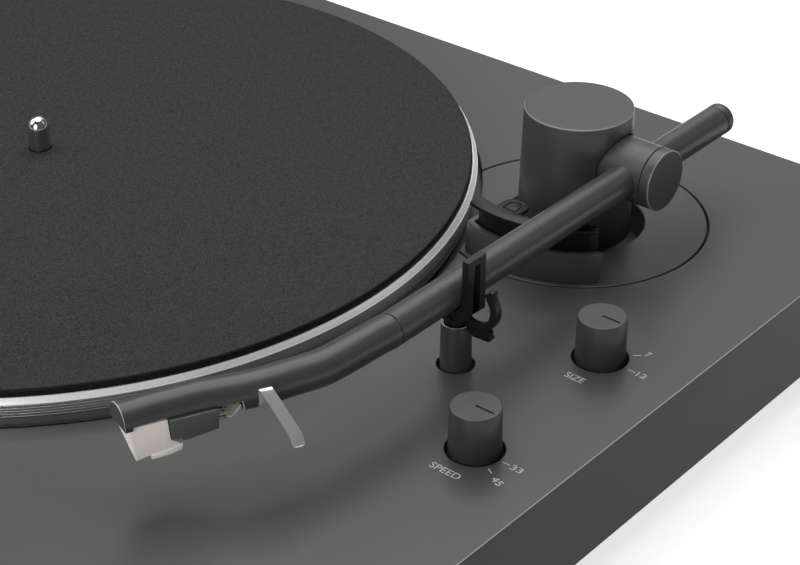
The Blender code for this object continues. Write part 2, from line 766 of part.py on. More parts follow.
def gear_outline(radius, teeth, centre):
    # Each tooth has a root flat and a narrower tip.
    step = math.tau / teeth
    root = radius - TOOTH_DEPTH
    outline = []
    for tooth in range(teeth):
        for share, reach in ((-TOOTH_ROOT_SHARE, root), (-TOOTH_TIP_SHARE, radius),
                             (TOOTH_TIP_SHARE, radius), (TOOTH_ROOT_SHARE, root)):
            angle = step * (tooth + share)
            outline.append((centre[0] + reach * math.cos(angle), centre[1] + reach * math.sin(angle)))
    return outline


def make_hub_gear(axis):
    top = platter_under - HUB_DEPTH - GAP
    outline = gear_outline(HUB_GEAR_RADIUS, HUB_GEAR_TEETH, spindle)
    gear = extruded("hub_gear", outline, top - HUB_GEAR_HEIGHT, top)
    cut(gear, rod("bore", SPINDLE_RADIUS + GAP, top - HUB_GEAR_HEIGHT - OVERRUN, top + OVERRUN, spindle))
    finish(gear, "white_plastic", axis)


def make_cam_gear(axis):
    bottom = well_floor + GAP
    top = bottom + CAM_HEIGHT
    gear = extruded("cam_gear", gear_outline(CAM_RADIUS, CAM_TEETH, cam_centre), bottom, top)
    cut(
        gear,
        rod("bore", CAM_POST_RADIUS + GAP, bottom - OVERRUN, top + OVERRUN, cam_centre, steps=PIN_STEPS),
        ring("track", CAM_TRACK_INNER, CAM_TRACK_OUTER, bottom - OVERRUN, bottom + CAM_TRACK_DEPTH, cam_centre),
    )
    finish(gear, "white_plastic", axis)


def make_drive_lever(axis):
    bottom = lever_top - LEVER_THICKNESS
    lever = rod("drive_lever", LEVER_HUB_RADIUS, bottom, lever_top, lever_pivot)
    for count, end in enumerate((follower_place, lever_tip), 1):
        step = LEVER_STEP * count
        along = (end - lever_pivot).normalized()
        side = Vector((-along.y, along.x, 0)) * (LEVER_WIDTH / 2)
        outline = [(lever_pivot + side), (end + side), (end - side), (lever_pivot - side)]
        outline = [(point.x, point.y) for point in outline]
        unite(lever, extruded("strip", outline, bottom + step, lever_top - step),
              rod("end", LEVER_WIDTH / 2, bottom, lever_top, end, steps=PIN_STEPS))
    pin_top = well_floor + GAP + FOLLOWER_ENTRY
    unite(lever, rod("follower", FOLLOWER_RADIUS, bottom + LEVER_THICKNESS / 2, pin_top,
                     follower_place, steps=PIN_STEPS))
    cut(lever, rod("bore", LEVER_POST_RADIUS + GAP, bottom - OVERRUN, lever_top + OVERRUN,
                   lever_pivot, steps=PIN_STEPS))
    finish(lever, "steel", axis)


# Motor and belt

def make_motor():
    shaft_hole = rod("shaft_hole", MOTOR_SHAFT_RADIUS + GAP, motor_top - MOTOR_SHAFT_DEPTH - GAP,
                     motor_top + OVERRUN, motor, steps=PIN_STEPS)
    can = rod("motor_can", MOTOR_RADIUS, motor_top - MOTOR_HEIGHT, motor_top, motor)
    finish(cut(can, shaft_hole), "steel")

    bracket_bottom = bracket_top - BRACKET_THICKNESS
    bracket = rod("motor_bracket", BRACKET_RADIUS, bracket_bottom, bracket_top, motor)
    cut(bracket, rod("boss_hole", PULLEY_RADIUS, bracket_bottom - OVERRUN, bracket_top + OVERRUN, motor))
    finish(bracket, "steel")

    low = bracket_top + GAP
    cushion = ring("motor_cushion", CUSHION_INNER, BRACKET_RADIUS, low, low + CUSHION_HEIGHT, motor)
    finish(cushion, "rubber")


def make_pulley(axis):
    bottom = ring_bottom
    top = bottom + PULLEY_HEIGHT
    profile = [
        (0, motor_top - MOTOR_SHAFT_DEPTH), (MOTOR_SHAFT_RADIUS, motor_top - MOTOR_SHAFT_DEPTH),
        (MOTOR_SHAFT_RADIUS, bottom), (PULLEY_RADIUS, bottom), (PULLEY_RADIUS, top), (0, top),
    ]
    finish(turned("motor_pulley", profile, motor, steps=SMALL_STEPS), "brass", axis)


def belt_outline(extra):
    # The belt leaves each wheel where the line between them is tangent to both.
    large = BELT_RING_RADIUS + extra
    small = PULLEY_RADIUS + extra
    bearing = math.radians(MOTOR_BEARING_DEG)
    lean = math.acos((large - small) / MOTOR_DISTANCE)
    outline = arc(large, bearing + lean, bearing + math.tau - lean, ROUND_STEPS, spindle)
    return outline + arc(small, bearing - lean, bearing + lean, PIN_STEPS, motor)


def make_belt():
    top = belt_bottom + BELT_HEIGHT
    belt = extruded("drive_belt", belt_outline(GAP + BELT_THICKNESS), belt_bottom, top)
    cut(belt, extruded("inside", belt_outline(GAP), belt_bottom - OVERRUN, top + OVERRUN))
    finish(belt, "rubber")


# Arm base and turret

def make_arm_base():
    flange_top = top_underside - GAP
    flange_bottom = flange_top - ARM_FLANGE_HEIGHT
    cup = ARM_WELL_RADIUS + ARM_CUP_WALL
    floor_top = arm_cup_bottom + ARM_CUP_FLOOR
    bore = BEARING_RADIUS + GAP
    sleeve_bottom = arm_cup_bottom - SLEEVE_LENGTH
    profile = [
        (bore, sleeve_bottom), (SLEEVE_RADIUS, sleeve_bottom), (SLEEVE_RADIUS, arm_cup_bottom),
        (cup, arm_cup_bottom), (cup, flange_bottom), (ARM_FLANGE_RADIUS, flange_bottom),
        (ARM_FLANGE_RADIUS, flange_top), (ARM_BASE_RADIUS, flange_top), (ARM_BASE_RADIUS, plinth_top),
        (ARM_WELL_RADIUS, plinth_top), (ARM_WELL_RADIUS, floor_top), (bore, floor_top),
    ]
    base = turned("arm_base", profile, arm, steps=ROUND_STEPS)
    cut(
        base,
        rod("platter_well", WELL_RADIUS, arm_cup_bottom, plinth_top + OVERRUN, spindle, steps=ROUND_STEPS),
        rod("well_wall", WELL_RADIUS + SHELL_WALL + GAP, arm_cup_bottom, top_underside + GAP, spindle,
            steps=ROUND_STEPS),
        rod("lifter_hole", LIFTER_ROD_RADIUS + GAP, arm_cup_bottom, plinth_top + OVERRUN, lifter_rod,
            steps=PIN_STEPS),
    )
    return finish(base, "satin_case")


def make_arm_bearing():
    top = arm_cup_bottom + ARM_CUP_FLOOR
    bottom = arm_cup_bottom - SLEEVE_LENGTH
    finish(ring("arm_bearing", ARM_SHAFT_RADIUS + GAP, BEARING_RADIUS, bottom, top, arm), "brass")


def make_turret(axis):
    bottom = plinth_top - TURRET_SINK
    top = plinth_top + TURRET_RISE
    inner_top = top - TURRET_WALL
    floor_top = bottom + TURRET_FLOOR
    boss_top = floor_top + TURRET_BOSS_HEIGHT
    shaft_bore = ARM_SHAFT_RADIUS + GAP
    profile = [
        (shaft_bore, bottom), (TURRET_BASE_RADIUS, bottom), (TURRET_RADIUS, top - TURRET_EDGE),
        (TURRET_RADIUS - TURRET_EDGE, top), (0, top), (0, inner_top),
        (TURRET_RADIUS - TURRET_WALL, inner_top), (TURRET_BASE_RADIUS - TURRET_WALL, floor_top),
        (TURRET_BOSS_RADIUS, floor_top), (TURRET_BOSS_RADIUS, boss_top), (shaft_bore, boss_top),
    ]
    turret = turned("turret", profile, arm, steps=MIDDLE_STEPS)
    wall_inside = ARM_X - TURRET_RADIUS + TURRET_WALL / 2
    boss_end = ARM_X - TURRET_RADIUS + AXLE_BOSS_LENGTH
    unite(turret, rod("axle_boss", AXLE_BOSS_RADIUS, wall_inside, boss_end, (ARM_Y, arm_level), "X"))
    cut(
        turret,
        rod("axle_bore", AXLE_RADIUS + GAP, wall_inside + GAP, boss_end + OVERRUN, (ARM_Y, arm_level), "X"),
        rod("barrel_hole", BARREL_RADIUS + BARREL_SLIP, ARM_X, ARM_X + TURRET_BASE_RADIUS + OVERRUN,
            (ARM_Y, arm_level), "X", steps=MIDDLE_STEPS),
    )
    finish(turret, "dark_metal", axis)


def make_arm_shaft(axis):
    bottom = arm_cup_bottom - ARM_SHAFT_DROP
    top = plinth_top - TURRET_SINK + TURRET_FLOOR + TURRET_BOSS_HEIGHT
    finish(rod("arm_shaft", ARM_SHAFT_RADIUS, bottom, top, arm), "steel", axis)
    inner = ARM_SHAFT_RADIUS + GAP
    collar_top = arm_cup_bottom - SLEEVE_LENGTH - GAP
    sector = ring("arm_sector", inner, SECTOR_COLLAR_RADIUS, bottom, collar_top, arm)
    outline = arc(SECTOR_RADIUS, math.radians(SECTOR_START_DEG), math.radians(SECTOR_END_DEG), ARC_STEPS, arm)
    outline += arc(SECTOR_COLLAR_RADIUS - GAP * 2, math.radians(SECTOR_END_DEG),
                   math.radians(SECTOR_START_DEG), SHORT_ARC_STEPS, arm)
    middle = (bottom + collar_top) / 2
    unite(sector, extruded("plate", outline, middle, middle + SECTOR_THICKNESS))
    finish(sector, "steel", axis)


def make_barrel(turning_axis, lifting_axis):
    centre = (ARM_Y, arm_level)
    axle_start = ARM_X - TURRET_RADIUS + TURRET_WALL
    barrel_start = ARM_X - TURRET_RADIUS + AXLE_BOSS_LENGTH + GAP
    bore_end = barrel_start + AXLE_ENTRY
    finish(rod("lift_axle", AXLE_RADIUS, axle_start, bore_end - GAP, centre, "X", steps=PIN_STEPS),
           "steel", turning_axis)
    face = ARM_X + BARREL_REACH
    seam = face - BARREL_CAP
    body_end = seam - GAP
    profile = [
        (0, bore_end), (AXLE_RADIUS + GAP, bore_end), (AXLE_RADIUS + GAP, barrel_start),
        (BARREL_RADIUS, barrel_start), (BARREL_RADIUS, body_end), (0, body_end),
    ]
    barrel = turned("barrel", profile, centre, "X", steps=MIDDLE_STEPS)
    cut(barrel, rod("tube_hole", TUBE_RADIUS + TUBE_CROSS_CLEARANCE, ARM_Y - BARREL_RADIUS - OVERRUN,
                    ARM_Y + BARREL_RADIUS + OVERRUN, (arm_level, tube_x), "Y"))
    finish(barrel, "dark_metal", lifting_axis)
    profile = [
        (0, seam), (BARREL_RADIUS, seam), (BARREL_RADIUS, face - BARREL_EDGE),
        (BARREL_RADIUS - BARREL_EDGE, face), (0, face),
    ]
    finish(turned("barrel_cap", profile, centre, "X", steps=MIDDLE_STEPS), "dark_metal", lifting_axis)


# Arm tube and head

def make_arm_tube(axis):
    centre = (arm_level, tube_x)
    rear = ARM_Y + TUBE_REAR
    seam = rear - TUBE_CAP
    finish(ring("arm_tube", TUBE_BORE, TUBE_RADIUS, seam_y, seam - GAP, centre, "Y"), "dark_metal", axis)
    profile = [
        (0, seam), (TUBE_RADIUS, seam), (TUBE_RADIUS, rear - TUBE_CAP_EDGE),
        (TUBE_RADIUS - TUBE_CAP_EDGE, rear), (0, rear),
    ]
    finish(turned("arm_end_cap", profile, centre, "Y", SMALL_STEPS), "dark_metal", axis)
    weight_end = seam - GAP * 2
    finish(rod("counterweight", TUBE_BORE - GAP, weight_end - WEIGHT_LENGTH, weight_end, centre, "Y"),
           "steel", axis)


def smoothed(points, steps):
    # A curve through the points, with tangents taken from each point's neighbours.
    padded = [points[0] * 2 - points[1]] + points + [points[-1] * 2 - points[-2]]
    curve = []
    for before, start, end, after in zip(padded, padded[1:], padded[2:], padded[3:]):
        for step in range(steps):
            t = step / steps
            curve.append(0.5 * (2 * start + (end - before) * t
                                + (2 * before - 5 * start + 4 * end - after) * t ** 2
                                + (3 * start - before - 3 * end + after) * t ** 3))
    return curve + [points[-1]]


def tube_rings(path, radius, sides):
    rings = []
    for index, point in enumerate(path):
        ahead = path[min(index + 1, len(path) - 1)]
        behind = path[max(index - 1, 0)]
        along = (ahead - behind).normalized()
        side = along.cross(Vector((0, 0, 1))).normalized()
        up = side.cross(along)
        rings.append([
            point + (side * math.cos(math.tau * n / sides) + up * math.sin(math.tau * n / sides)) * radius
            for n in range(sides)
        ])
    return rings


head_front = Vector((tube_x - HEAD_OFFSET, seam_y - HEAD_REACH, arm_level))
head_back = Vector((math.sin(math.radians(HEAD_BEARING_DEG)), math.cos(math.radians(HEAD_BEARING_DEG)), 0))
head_side = Vector((head_back.y, -head_back.x, 0))
head_path = smoothed(
    [Vector((tube_x - HEAD_OFFSET * x, seam_y - GAP - (HEAD_REACH - GAP) * y, arm_level))
     for x, y in HEAD_PATH_SHARES], CURVE_STEPS)


bundle_start = HEAD_FLAT_LENGTH + LEAD_BUNDLE_RADIUS
lead_rise = LEAD_BUNDLE_RADIUS + GAP * 2 - TUBE_BORE


def at_head(back, side, rise):
    return head_front + head_back * back + head_side * side + Vector((0, 0, rise))


def make_headshell(axis):
    shell = lofted("headshell", tube_rings(head_path, TUBE_RADIUS, HEAD_SIDES))
    stop = head_front + head_back * HEAD_END_WALL
    inside = [point for point in head_path if (point - head_front).dot(head_back) > HEAD_END_WALL]
    inside = [head_path[0] + Vector((0, OVERRUN, 0))] + inside + [stop]
    cut(shell, lofted("bore", tube_rings(inside, TUBE_BORE, HEAD_SIDES)))
    side = TUBE_RADIUS * 2
    for start, end, rise in ((-OVERRUN, HEAD_END_WALL, -HEAD_END_DROP),
                             (HEAD_END_WALL - GAP, HEAD_FLAT_LENGTH, HEAD_FLAT_RISE)):
        corners = [at_head(back, s, 0) for back, s in ((start, -side), (end, -side), (end, side), (start, side))]
        outline = [(corner.x, corner.y) for corner in corners]
        cut(shell, extruded("flat", outline, arm_level - side, arm_level + rise))
    finish(shell, "dark_metal", axis)


def make_cartridge(axis):
    top = HEAD_FLAT_RISE - HOLDER_TOP_DROP
    low = top - BODY_HEIGHT
    front = HOLDER_REAR + GAP * 2
    skirt = HOLDER_SKIRT_REAR + GAP
    notch = -HOLDER_NOTCH_DROP + GAP
    sides = [(front, top), (BODY_REAR, top), (BODY_REAR, low + BODY_RISE), (skirt + GAP, low), (skirt, notch),
             (front + GAP, notch)]
    body = lofted("cartridge_body", [[at_head(back, side, rise) for back, rise in sides]
                                     for side in (-BODY_HALF, BODY_HALF)])
    plug_start = front + GAP
    plug_path = [point for point in head_path if plug_start < (point - head_front).dot(head_back) < PLUG_END]
    plug = lofted("plug", tube_rings(plug_path, PLUG_RADIUS, HEAD_SIDES))
    corners = [at_head(back, side, 0) for back, side in ((0, -TUBE_RADIUS * 2), (PLUG_END * 2, -TUBE_RADIUS * 2),
                                                         (PLUG_END * 2, TUBE_RADIUS * 2), (0, TUBE_RADIUS * 2))]
    cut(plug, extruded("below", [(corner.x, corner.y) for corner in corners],
                       arm_level - TUBE_RADIUS * 2, arm_level + top - BODY_HALF / 4))
    unite(body, plug)
    leads = []
    pin_level = top - BODY_HEIGHT / 2
    for index in LEAD_PLACES_SHARES:
        side = PIN_SPACING * index
        level = pin_level - PIN_SPACING / 2 * (abs(index) > 1)
        end = BODY_REAR + PIN_LENGTH
        path = [at_head(BODY_REAR - PIN_LENGTH, side, level), at_head(end, side, level)]
        unite(body, lofted("pin", tube_rings(path, PIN_RADIUS, WIRE_STEPS)))
        inside_bundle = side / PIN_SPACING * LEAD_RADIUS
        wire = [
            at_head(end + GAP, side, level), at_head(end + GAP + LEAD_SAG, side, level - LEAD_SAG / 4),
            at_head((end + HEAD_FLAT_LENGTH) / 2, side, level + LEAD_SAG / 2),
            at_head(HEAD_FLAT_LENGTH, inside_bundle * 2, lead_rise),
            at_head(bundle_start, inside_bundle, lead_rise),
            at_head(bundle_start + LEAD_BUNDLE_RADIUS, inside_bundle, lead_rise),
        ]
        leads.append(lofted("lead", tube_rings(smoothed(wire, CURVE_STEPS), LEAD_RADIUS, WIRE_STEPS)))
    finish(body, "grey_plastic", axis)
    return leads


def make_lead_wires(leads, axis):
    # The four wires run together into one sleeve that lies in the tube.
    sunk = Vector((0, 0, lead_rise))
    clear = bundle_start + LEAD_BUNDLE_RADIUS * 2
    path = [point + sunk for point in head_path if (point - head_front).dot(head_back) > clear]
    path.append(at_head(bundle_start, 0, lead_rise))
    path.reverse()
    end = ARM_Y + TUBE_REAR - TUBE_CAP - WEIGHT_LENGTH - GAP * 4
    path.append(Vector((tube_x, end, arm_level)) + sunk)
    bundle = lofted("lead_wires", tube_rings(path, LEAD_BUNDLE_RADIUS, WIRE_STEPS))
    finish(unite(bundle, *leads), "white_plastic", axis)


def make_stylus_holder(axis):
    top = HEAD_FLAT_RISE - HOLDER_TOP_DROP
    foot = top - HOLDER_DEPTH + (HOLDER_SKIRT_REAR - HOLDER_REAR) / 2
    middle_half = (HOLDER_TOP_HALF + HOLDER_FOOT_HALF) / 2
    levels = [
        (top, 0.0, HOLDER_FRONT, HOLDER_REAR, HOLDER_TOP_HALF),
        (-HOLDER_NOTCH_DROP, HOLDER_NOTCH_LEAN_SHARE, HOLDER_FRONT, HOLDER_REAR + GAP * 2, middle_half),
        (-HOLDER_NOTCH_DROP - GAP * 3, HOLDER_SKIRT_LEAN_SHARE, HOLDER_FRONT, HOLDER_SKIRT_REAR - GAP,
         middle_half - GAP),
        (foot, 1.0, HOLDER_FRONT + GAP * 3, HOLDER_SKIRT_REAR, HOLDER_FOOT_HALF),
    ]
    rings = []
    for rise, lean_share, front, rear, half in levels:
        nose = lean_share * (front + GAP)
        points = [(nose, HOLDER_NOSE_HALF), (front, HOLDER_FOOT_HALF), (front, half), (rear, half)]
        points += [(back, -side) for back, side in reversed(points)]
        rings.append([at_head(back, side, rise) for back, side in points])
    holder = lofted("stylus_holder", rings)
    slot_rear = HOLDER_REAR + GAP
    corners = [at_head(back, side, 0) for back, side in (
        (HOLDER_SLOT_FRONT, -HOLDER_SLOT_HALF), (slot_rear, -HOLDER_SLOT_HALF),
        (slot_rear, HOLDER_SLOT_HALF), (HOLDER_SLOT_FRONT, HOLDER_SLOT_HALF))]
    cut(holder, extruded("slot", [(corner.x, corner.y) for corner in corners],
                         arm_level + foot - OVERRUN, arm_level - HOLDER_NOTCH_DROP + GAP * 3))
    finish(holder, "pale_plastic", axis)

    tip = at_head(STYLUS_BACK, 0, -STYLUS_DROP)
    root = at_head(slot_rear - CANTILEVER_RADIUS, 0, -HOLDER_NOTCH_DROP)
    neck = tip + Vector((0, 0, TIP_HEIGHT))
    cantilever = lofted("stylus", tube_rings([neck, (neck + root) / 2, root], CANTILEVER_RADIUS, WIRE_STEPS))
    jewel = [(0, tip.z), (CANTILEVER_RADIUS, neck.z), (0, neck.z + CANTILEVER_RADIUS)]
    unite(cantilever, turned("jewel", jewel, tip, steps=WIRE_STEPS))
    finish(cantilever, "steel", axis)


def make_finger_lift(axis):
    inside = TUBE_RADIUS + GAP + LIFT_THICKNESS / 2
    root_top = HEAD_FLAT_RISE + LIFT_ROOT_HEIGHT / 2 + GAP
    # Places along the strip: outwards from the head, up or down, and how far it has moved back
    spine = [
        (inside, root_top - LIFT_ROOT_HEIGHT, 0),
        (inside, root_top, 0),
        (inside + LIFT_THICKNESS, root_top + LIFT_THICKNESS / 2, 0),
    ]
    for reach_share, drop_share, skew in LIFT_BEND_SHARES:
        spine.append((inside + (LIFT_REACH - inside) * reach_share, root_top - LIFT_DROP * drop_share, skew))
    spine.append((LIFT_REACH, root_top - LIFT_DROP, 1))
    rings = []
    for index, (side, rise, skew_share) in enumerate(spine):
        ahead = spine[min(index + 1, len(spine) - 1)]
        behind = spine[max(index - 1, 0)]
        run = Vector((ahead[0] - behind[0], ahead[1] - behind[1])).normalized()
        normal = Vector((-run.y, run.x)) * (LIFT_THICKNESS / 2)
        back = LIFT_BACK + LIFT_SKEW * skew_share
        rings.append([
            at_head(back, side + normal.x, rise + normal.y),
            at_head(back + LIFT_WIDTH, side + normal.x, rise + normal.y),
            at_head(back + LIFT_WIDTH, side - normal.x, rise - normal.y),
            at_head(back, side - normal.x, rise - normal.y),
        ])
    finish(lofted("finger_lift", rings), "chrome", axis)


# Arm lifter

def lifter_band(inner, outer, left, right, steps=SMALL_STEPS):
    def reach(radius, x):
        return -math.acos(x / radius)
    outline = arc(outer, reach(outer, -left), reach(outer, right), steps, arm)
    return outline + arc(inner, reach(inner, right), reach(inner, -left), steps, arm)


def make_lifter_housing():
    bottom = plinth_top + GAP
    top = plinth_top + LIFTER_HOUSING_HEIGHT
    rings = []
    for level, outer in ((bottom, LIFTER_HOUSING_OUTER), (top, LIFTER_HOUSING_TOP_OUTER)):
        band = lifter_band(LIFTER_HOUSING_INNER, outer, LIFTER_HOUSING_LEFT, LIFTER_HOUSING_RIGHT)
        rings.append([(x, y, level) for x, y in band])
    housing = lofted("lifter_housing", rings)
    slot = lifter_band(LIFTER_WALL_INNER - GAP, LIFTER_WALL_OUTER + GAP,
                       LIFTER_LEFT - LIFTER_WALL_INSET + GAP, LIFTER_RIGHT - LIFTER_WALL_INSET + GAP)
    cut(housing, extruded("slot", slot, bottom + SHELL_TOP / 2, top + OVERRUN))
    finish(housing, "satin_case")


def stadium(inner, half, outer):
    # The tab's outline: a round end towards the turret and a square one at the lifter.
    centre = (ARM_X, ARM_Y - inner - half)
    square_end = [(ARM_X - half, ARM_Y - outer), (ARM_X + half, ARM_Y - outer)]
    return arc(half, 0, math.pi, ARC_STEPS, centre) + square_end


def make_lifter(axis):
    top = lifter_top
    bottom = top - LIFTER_FLANGE
    band = lifter_band(LIFTER_FLANGE_INNER, LIFTER_FLANGE_OUTER, LIFTER_LEFT, LIFTER_RIGHT)
    lifter = extruded("lifter_arc", band, bottom, top)
    inset = LIFTER_LEFT - LIFTER_WALL_INSET, LIFTER_RIGHT - LIFTER_WALL_INSET
    wall = lifter_band(LIFTER_WALL_INNER, LIFTER_WALL_OUTER, *inset)
    wall_bottom = plinth_top + SHELL_TOP
    middle = bottom + LIFTER_FLANGE / 2
    groove_low = top - LIFTER_TAB_GROOVE_DEPTH
    half = LIFTER_TAB_HALF
    far = LIFTER_FLANGE_INNER + LIFTER_FLANGE
    unite(
        lifter,
        extruded("wall", wall, wall_bottom, middle),
        extruded("tab", stadium(LIFTER_TAB_INNER, half, far), bottom, top),
    )
    outer = LIFTER_TAB_GROOVE
    inner = LIFTER_TAB_GROOVE + LIFTER_TAB_GROOVE_WIDTH
    groove = extruded("groove", stadium(LIFTER_TAB_INNER + outer, half - outer, far - LIFTER_FLANGE - outer),
                      groove_low, top + OVERRUN)
    island = extruded("island", stadium(LIFTER_TAB_INNER + inner, half - inner, far - LIFTER_FLANGE - inner),
                      groove_low - OVERRUN, top + OVERRUN * 2)
    cut(lifter, cut(groove, island))
    finish(lifter, "black_plastic", axis)
    rod_bottom = plinth_top - LIFTER_ROD_BELOW
    finish(rod("lifter_shaft", LIFTER_ROD_RADIUS, rod_bottom, bottom - GAP, lifter_rod, steps=PIN_STEPS),
           "steel", axis)


# Arm rest

saddle_top = tube_under - SADDLE_GAP
saddle_bottom = saddle_top - SADDLE_HEIGHT
plate_left = tube_x + TUBE_RADIUS + GAP
plate_right = plate_left + CLIP_PLATE
latch_hinge = (tube_x + LATCH_HINGE_X, arm_level - LATCH_HINGE_DROP)
latch_centre = (latch_hinge[0] + LATCH_CENTRE_X, latch_hinge[1] + LATCH_CENTRE_RISE)


def make_rest_post():
    flange_top = top_underside - GAP
    bottom = flange_top - POST_FLANGE
    top = plinth_top + POST_RISE
    bore = POST_TOP_RADIUS - POST_WALL
    profile = [
        (bore, bottom), (POST_FLANGE_RADIUS, bottom), (POST_FLANGE_RADIUS, flange_top),
        (POST_RADIUS, flange_top), (POST_RADIUS, plinth_top), (POST_TOP_RADIUS, top), (bore, top),
    ]
    finish(turned("rest_post", profile, post_centre, steps=SMALL_STEPS), "dark_metal")


def make_clip():
    left = tube_x - SADDLE_LEFT
    near, far = REST_Y - SADDLE_HALF, REST_Y + SADDLE_HALF
    bracket = block("clip_bracket", (left, near, saddle_bottom), (plate_right, far, saddle_top))
    cradle_outline = [(saddle_top - GAP, plate_right), (saddle_top - GAP, plate_left - CRADLE_RISE - GAP),
                      (saddle_top, plate_left - CRADLE_RISE), (saddle_top + CRADLE_RISE, plate_left),
                      (saddle_top + CRADLE_RISE, plate_right)]
    cradle = extruded("cradle", cradle_outline, near + CLIP_STEP, far - CLIP_STEP, "Y")
    plate_top = arm_level + CLIP_PLATE_TOP
    plate = block("plate", (plate_left, near, saddle_top - GAP), (plate_right, far, plate_top))
    post_inside = plinth_top + POST_RISE - STEM_DEPTH
    stem = rod("stem", STEM_RADIUS, post_inside, saddle_bottom + GAP, post_centre)
    unite(bracket, cradle, plate, stem)
    slot_near, slot_far = REST_Y - CLIP_SLOT_HALF, REST_Y + CLIP_SLOT_HALF
    slot_left = latch_hinge[0] - LATCH_KNUCKLE_RADIUS - GAP
    slot_floor = saddle_bottom + GAP
    stem_right = post_centre[0] + STEM_RADIUS
    cut(
        bracket,
        block("open_slot", (stem_right, slot_near, saddle_bottom - OVERRUN),
              (plate_right + OVERRUN, slot_far, saddle_top)),
        block("latch_slot", (slot_left, slot_near, slot_floor),
              (plate_right + OVERRUN, slot_far, plate_top - CLIP_SLOT_TOP)),
        rod("pin_hole", LATCH_PIN_RADIUS + GAP, near - OVERRUN, far + OVERRUN,
            (latch_hinge[1], latch_hinge[0]), "Y", steps=PIN_STEPS),
    )
    finish(bracket, "black_plastic")
    finish(rod("latch_pin", LATCH_PIN_RADIUS, near + GAP, far - GAP, (latch_hinge[1], latch_hinge[0]),
               "Y", steps=PIN_STEPS), "steel")


def make_latch(axis):
    near, far = REST_Y - LATCH_HALF, REST_Y + LATCH_HALF
    start, end = math.radians(LATCH_START_DEG), math.radians(LATCH_END_DEG)
    outline = arc(LATCH_OUTER, start, end, SMALL_STEPS, latch_centre)
    outline += arc(LATCH_INNER, end, start, SMALL_STEPS, latch_centre)
    latch = extruded("clip_latch", [(z, x) for x, z in outline], near, far, "Y")
    knuckle = rod("knuckle", LATCH_KNUCKLE_RADIUS, near + LATCH_STEP, far - LATCH_STEP,
                  (latch_hinge[1], latch_hinge[0]), "Y")
    mid = (LATCH_INNER + LATCH_OUTER) / 2
    nub_x = latch_centre[0] + mid * math.cos(end)
    nub_z = latch_centre[1] + mid * math.sin(end)
    nub = rod("nub", LATCH_NUB_RADIUS, near - LATCH_STEP, far + LATCH_STEP, (nub_z, nub_x), "Y",
              steps=PIN_STEPS)
    tab_left = post_centre[0] + POST_TOP_RADIUS + GAP * 2
    tab_low = latch_centre[1] - LATCH_TAB_DROP
    inner_level = latch_centre[1] - mid
    tab_outline = [
        (tab_left, inner_level + LATCH_NUB_RADIUS), (tab_left, tab_low + LATCH_TAB_SLOPE),
        (tab_left + LATCH_NUB_RADIUS, tab_low), (tab_left + LATCH_TAB_WIDTH, tab_low + LATCH_TAB_SLOPE),
        (tab_left + LATCH_TAB_WIDTH, tab_low + LATCH_NUB_RADIUS * 2),
        (latch_centre[0] + LATCH_NUB_RADIUS, inner_level),
    ]
    tab = extruded("tab", [(z, x) for x, z in tab_outline], near + LATCH_STEP, far - LATCH_STEP, "Y")
    unite(latch, knuckle, nub, tab)
    cut(latch, rod("pin_hole", LATCH_PIN_RADIUS + GAP, near - OVERRUN, far + OVERRUN,
                   (latch_hinge[1], latch_hinge[0]), "Y", steps=PIN_STEPS))
    finish(latch, "black_plastic", axis)


# Controls

def make_knob(kind, axis):
    place = knob_places[kind]
    bottom = plinth_top - KNOB_SINK
    top = plinth_top + KNOB_RISE
    stem_bottom = bottom - KNOB_STEM_LENGTH
    profile = [
        (0, stem_bottom), (KNOB_STEM_RADIUS, stem_bottom), (KNOB_STEM_RADIUS, bottom),
        (KNOB_FOOT_RADIUS, bottom), (KNOB_RADIUS, top - KNOB_EDGE), (KNOB_RADIUS - KNOB_EDGE, top), (0, top),
    ]
    knob = turned(kind + "_knob", profile, place, steps=MIDDLE_STEPS)
    half = KNOB_GROOVE_WIDTH / 2
    cut(knob, block("groove", (place[0], place[1] - half, top - KNOB_GROOVE_DEPTH),
                    (place[0] + KNOB_GROOVE_LENGTH, place[1] + half, top + OVERRUN)))
    finish(knob, "satin_case", axis)
    switch_top = top_underside - GAP
    low = (place[0] - SWITCH_HALF, place[1] - SWITCH_HALF, switch_top - SWITCH_HEIGHT)
    switch = block(kind + "_switch", low, (place[0] + SWITCH_HALF, place[1] + SWITCH_HALF, switch_top))
    cut(switch, rod("socket", KNOB_STEM_RADIUS + GAP, stem_bottom - GAP, switch_top + OVERRUN, place,
                    steps=SMALL_STEPS))
    finish(switch, "black_plastic")


def make_buttons(axes):
    inner_y = -half_depth + SHELL_WALL
    for index, kind in enumerate(button_names):
        button = button_box(kind + "_button", index, 0, -half_depth, -half_depth + BUTTON_LENGTH)
        flange = button_box("flange", index, BUTTON_FLANGE, inner_y + GAP, inner_y + GAP + BUTTON_FLANGE)
        unite(button, flange)
        finish(button, "satin_case", axes[kind])
    front = -half_depth + BUTTON_BOARD_DEPTH
    last = button_start_x + BUTTON_PITCH * (len(button_names) - 1)
    edge = BUTTON_WIDTH / 2 + BUTTON_BOARD_MARGIN
    low = (button_start_x - edge, front, BUTTON_CENTRE_HEIGHT - BUTTON_HEIGHT)
    high = (last + edge, front + BUTTON_BOARD_THICKNESS, top_underside - GAP)
    board = block("button_board", low, high)
    half = BUTTON_HEIGHT / 4
    stop = -half_depth + BUTTON_LENGTH + BUTTON_TRAVEL + GAP
    for index in range(len(button_names)):
        x = button_start_x + BUTTON_PITCH * index
        unite(board, block("contact", (x - half, stop, BUTTON_CENTRE_HEIGHT - half),
                           (x + half, front + BUTTON_BOARD_THICKNESS / 2, BUTTON_CENTRE_HEIGHT + half)))
    finish(board, "circuit_board")


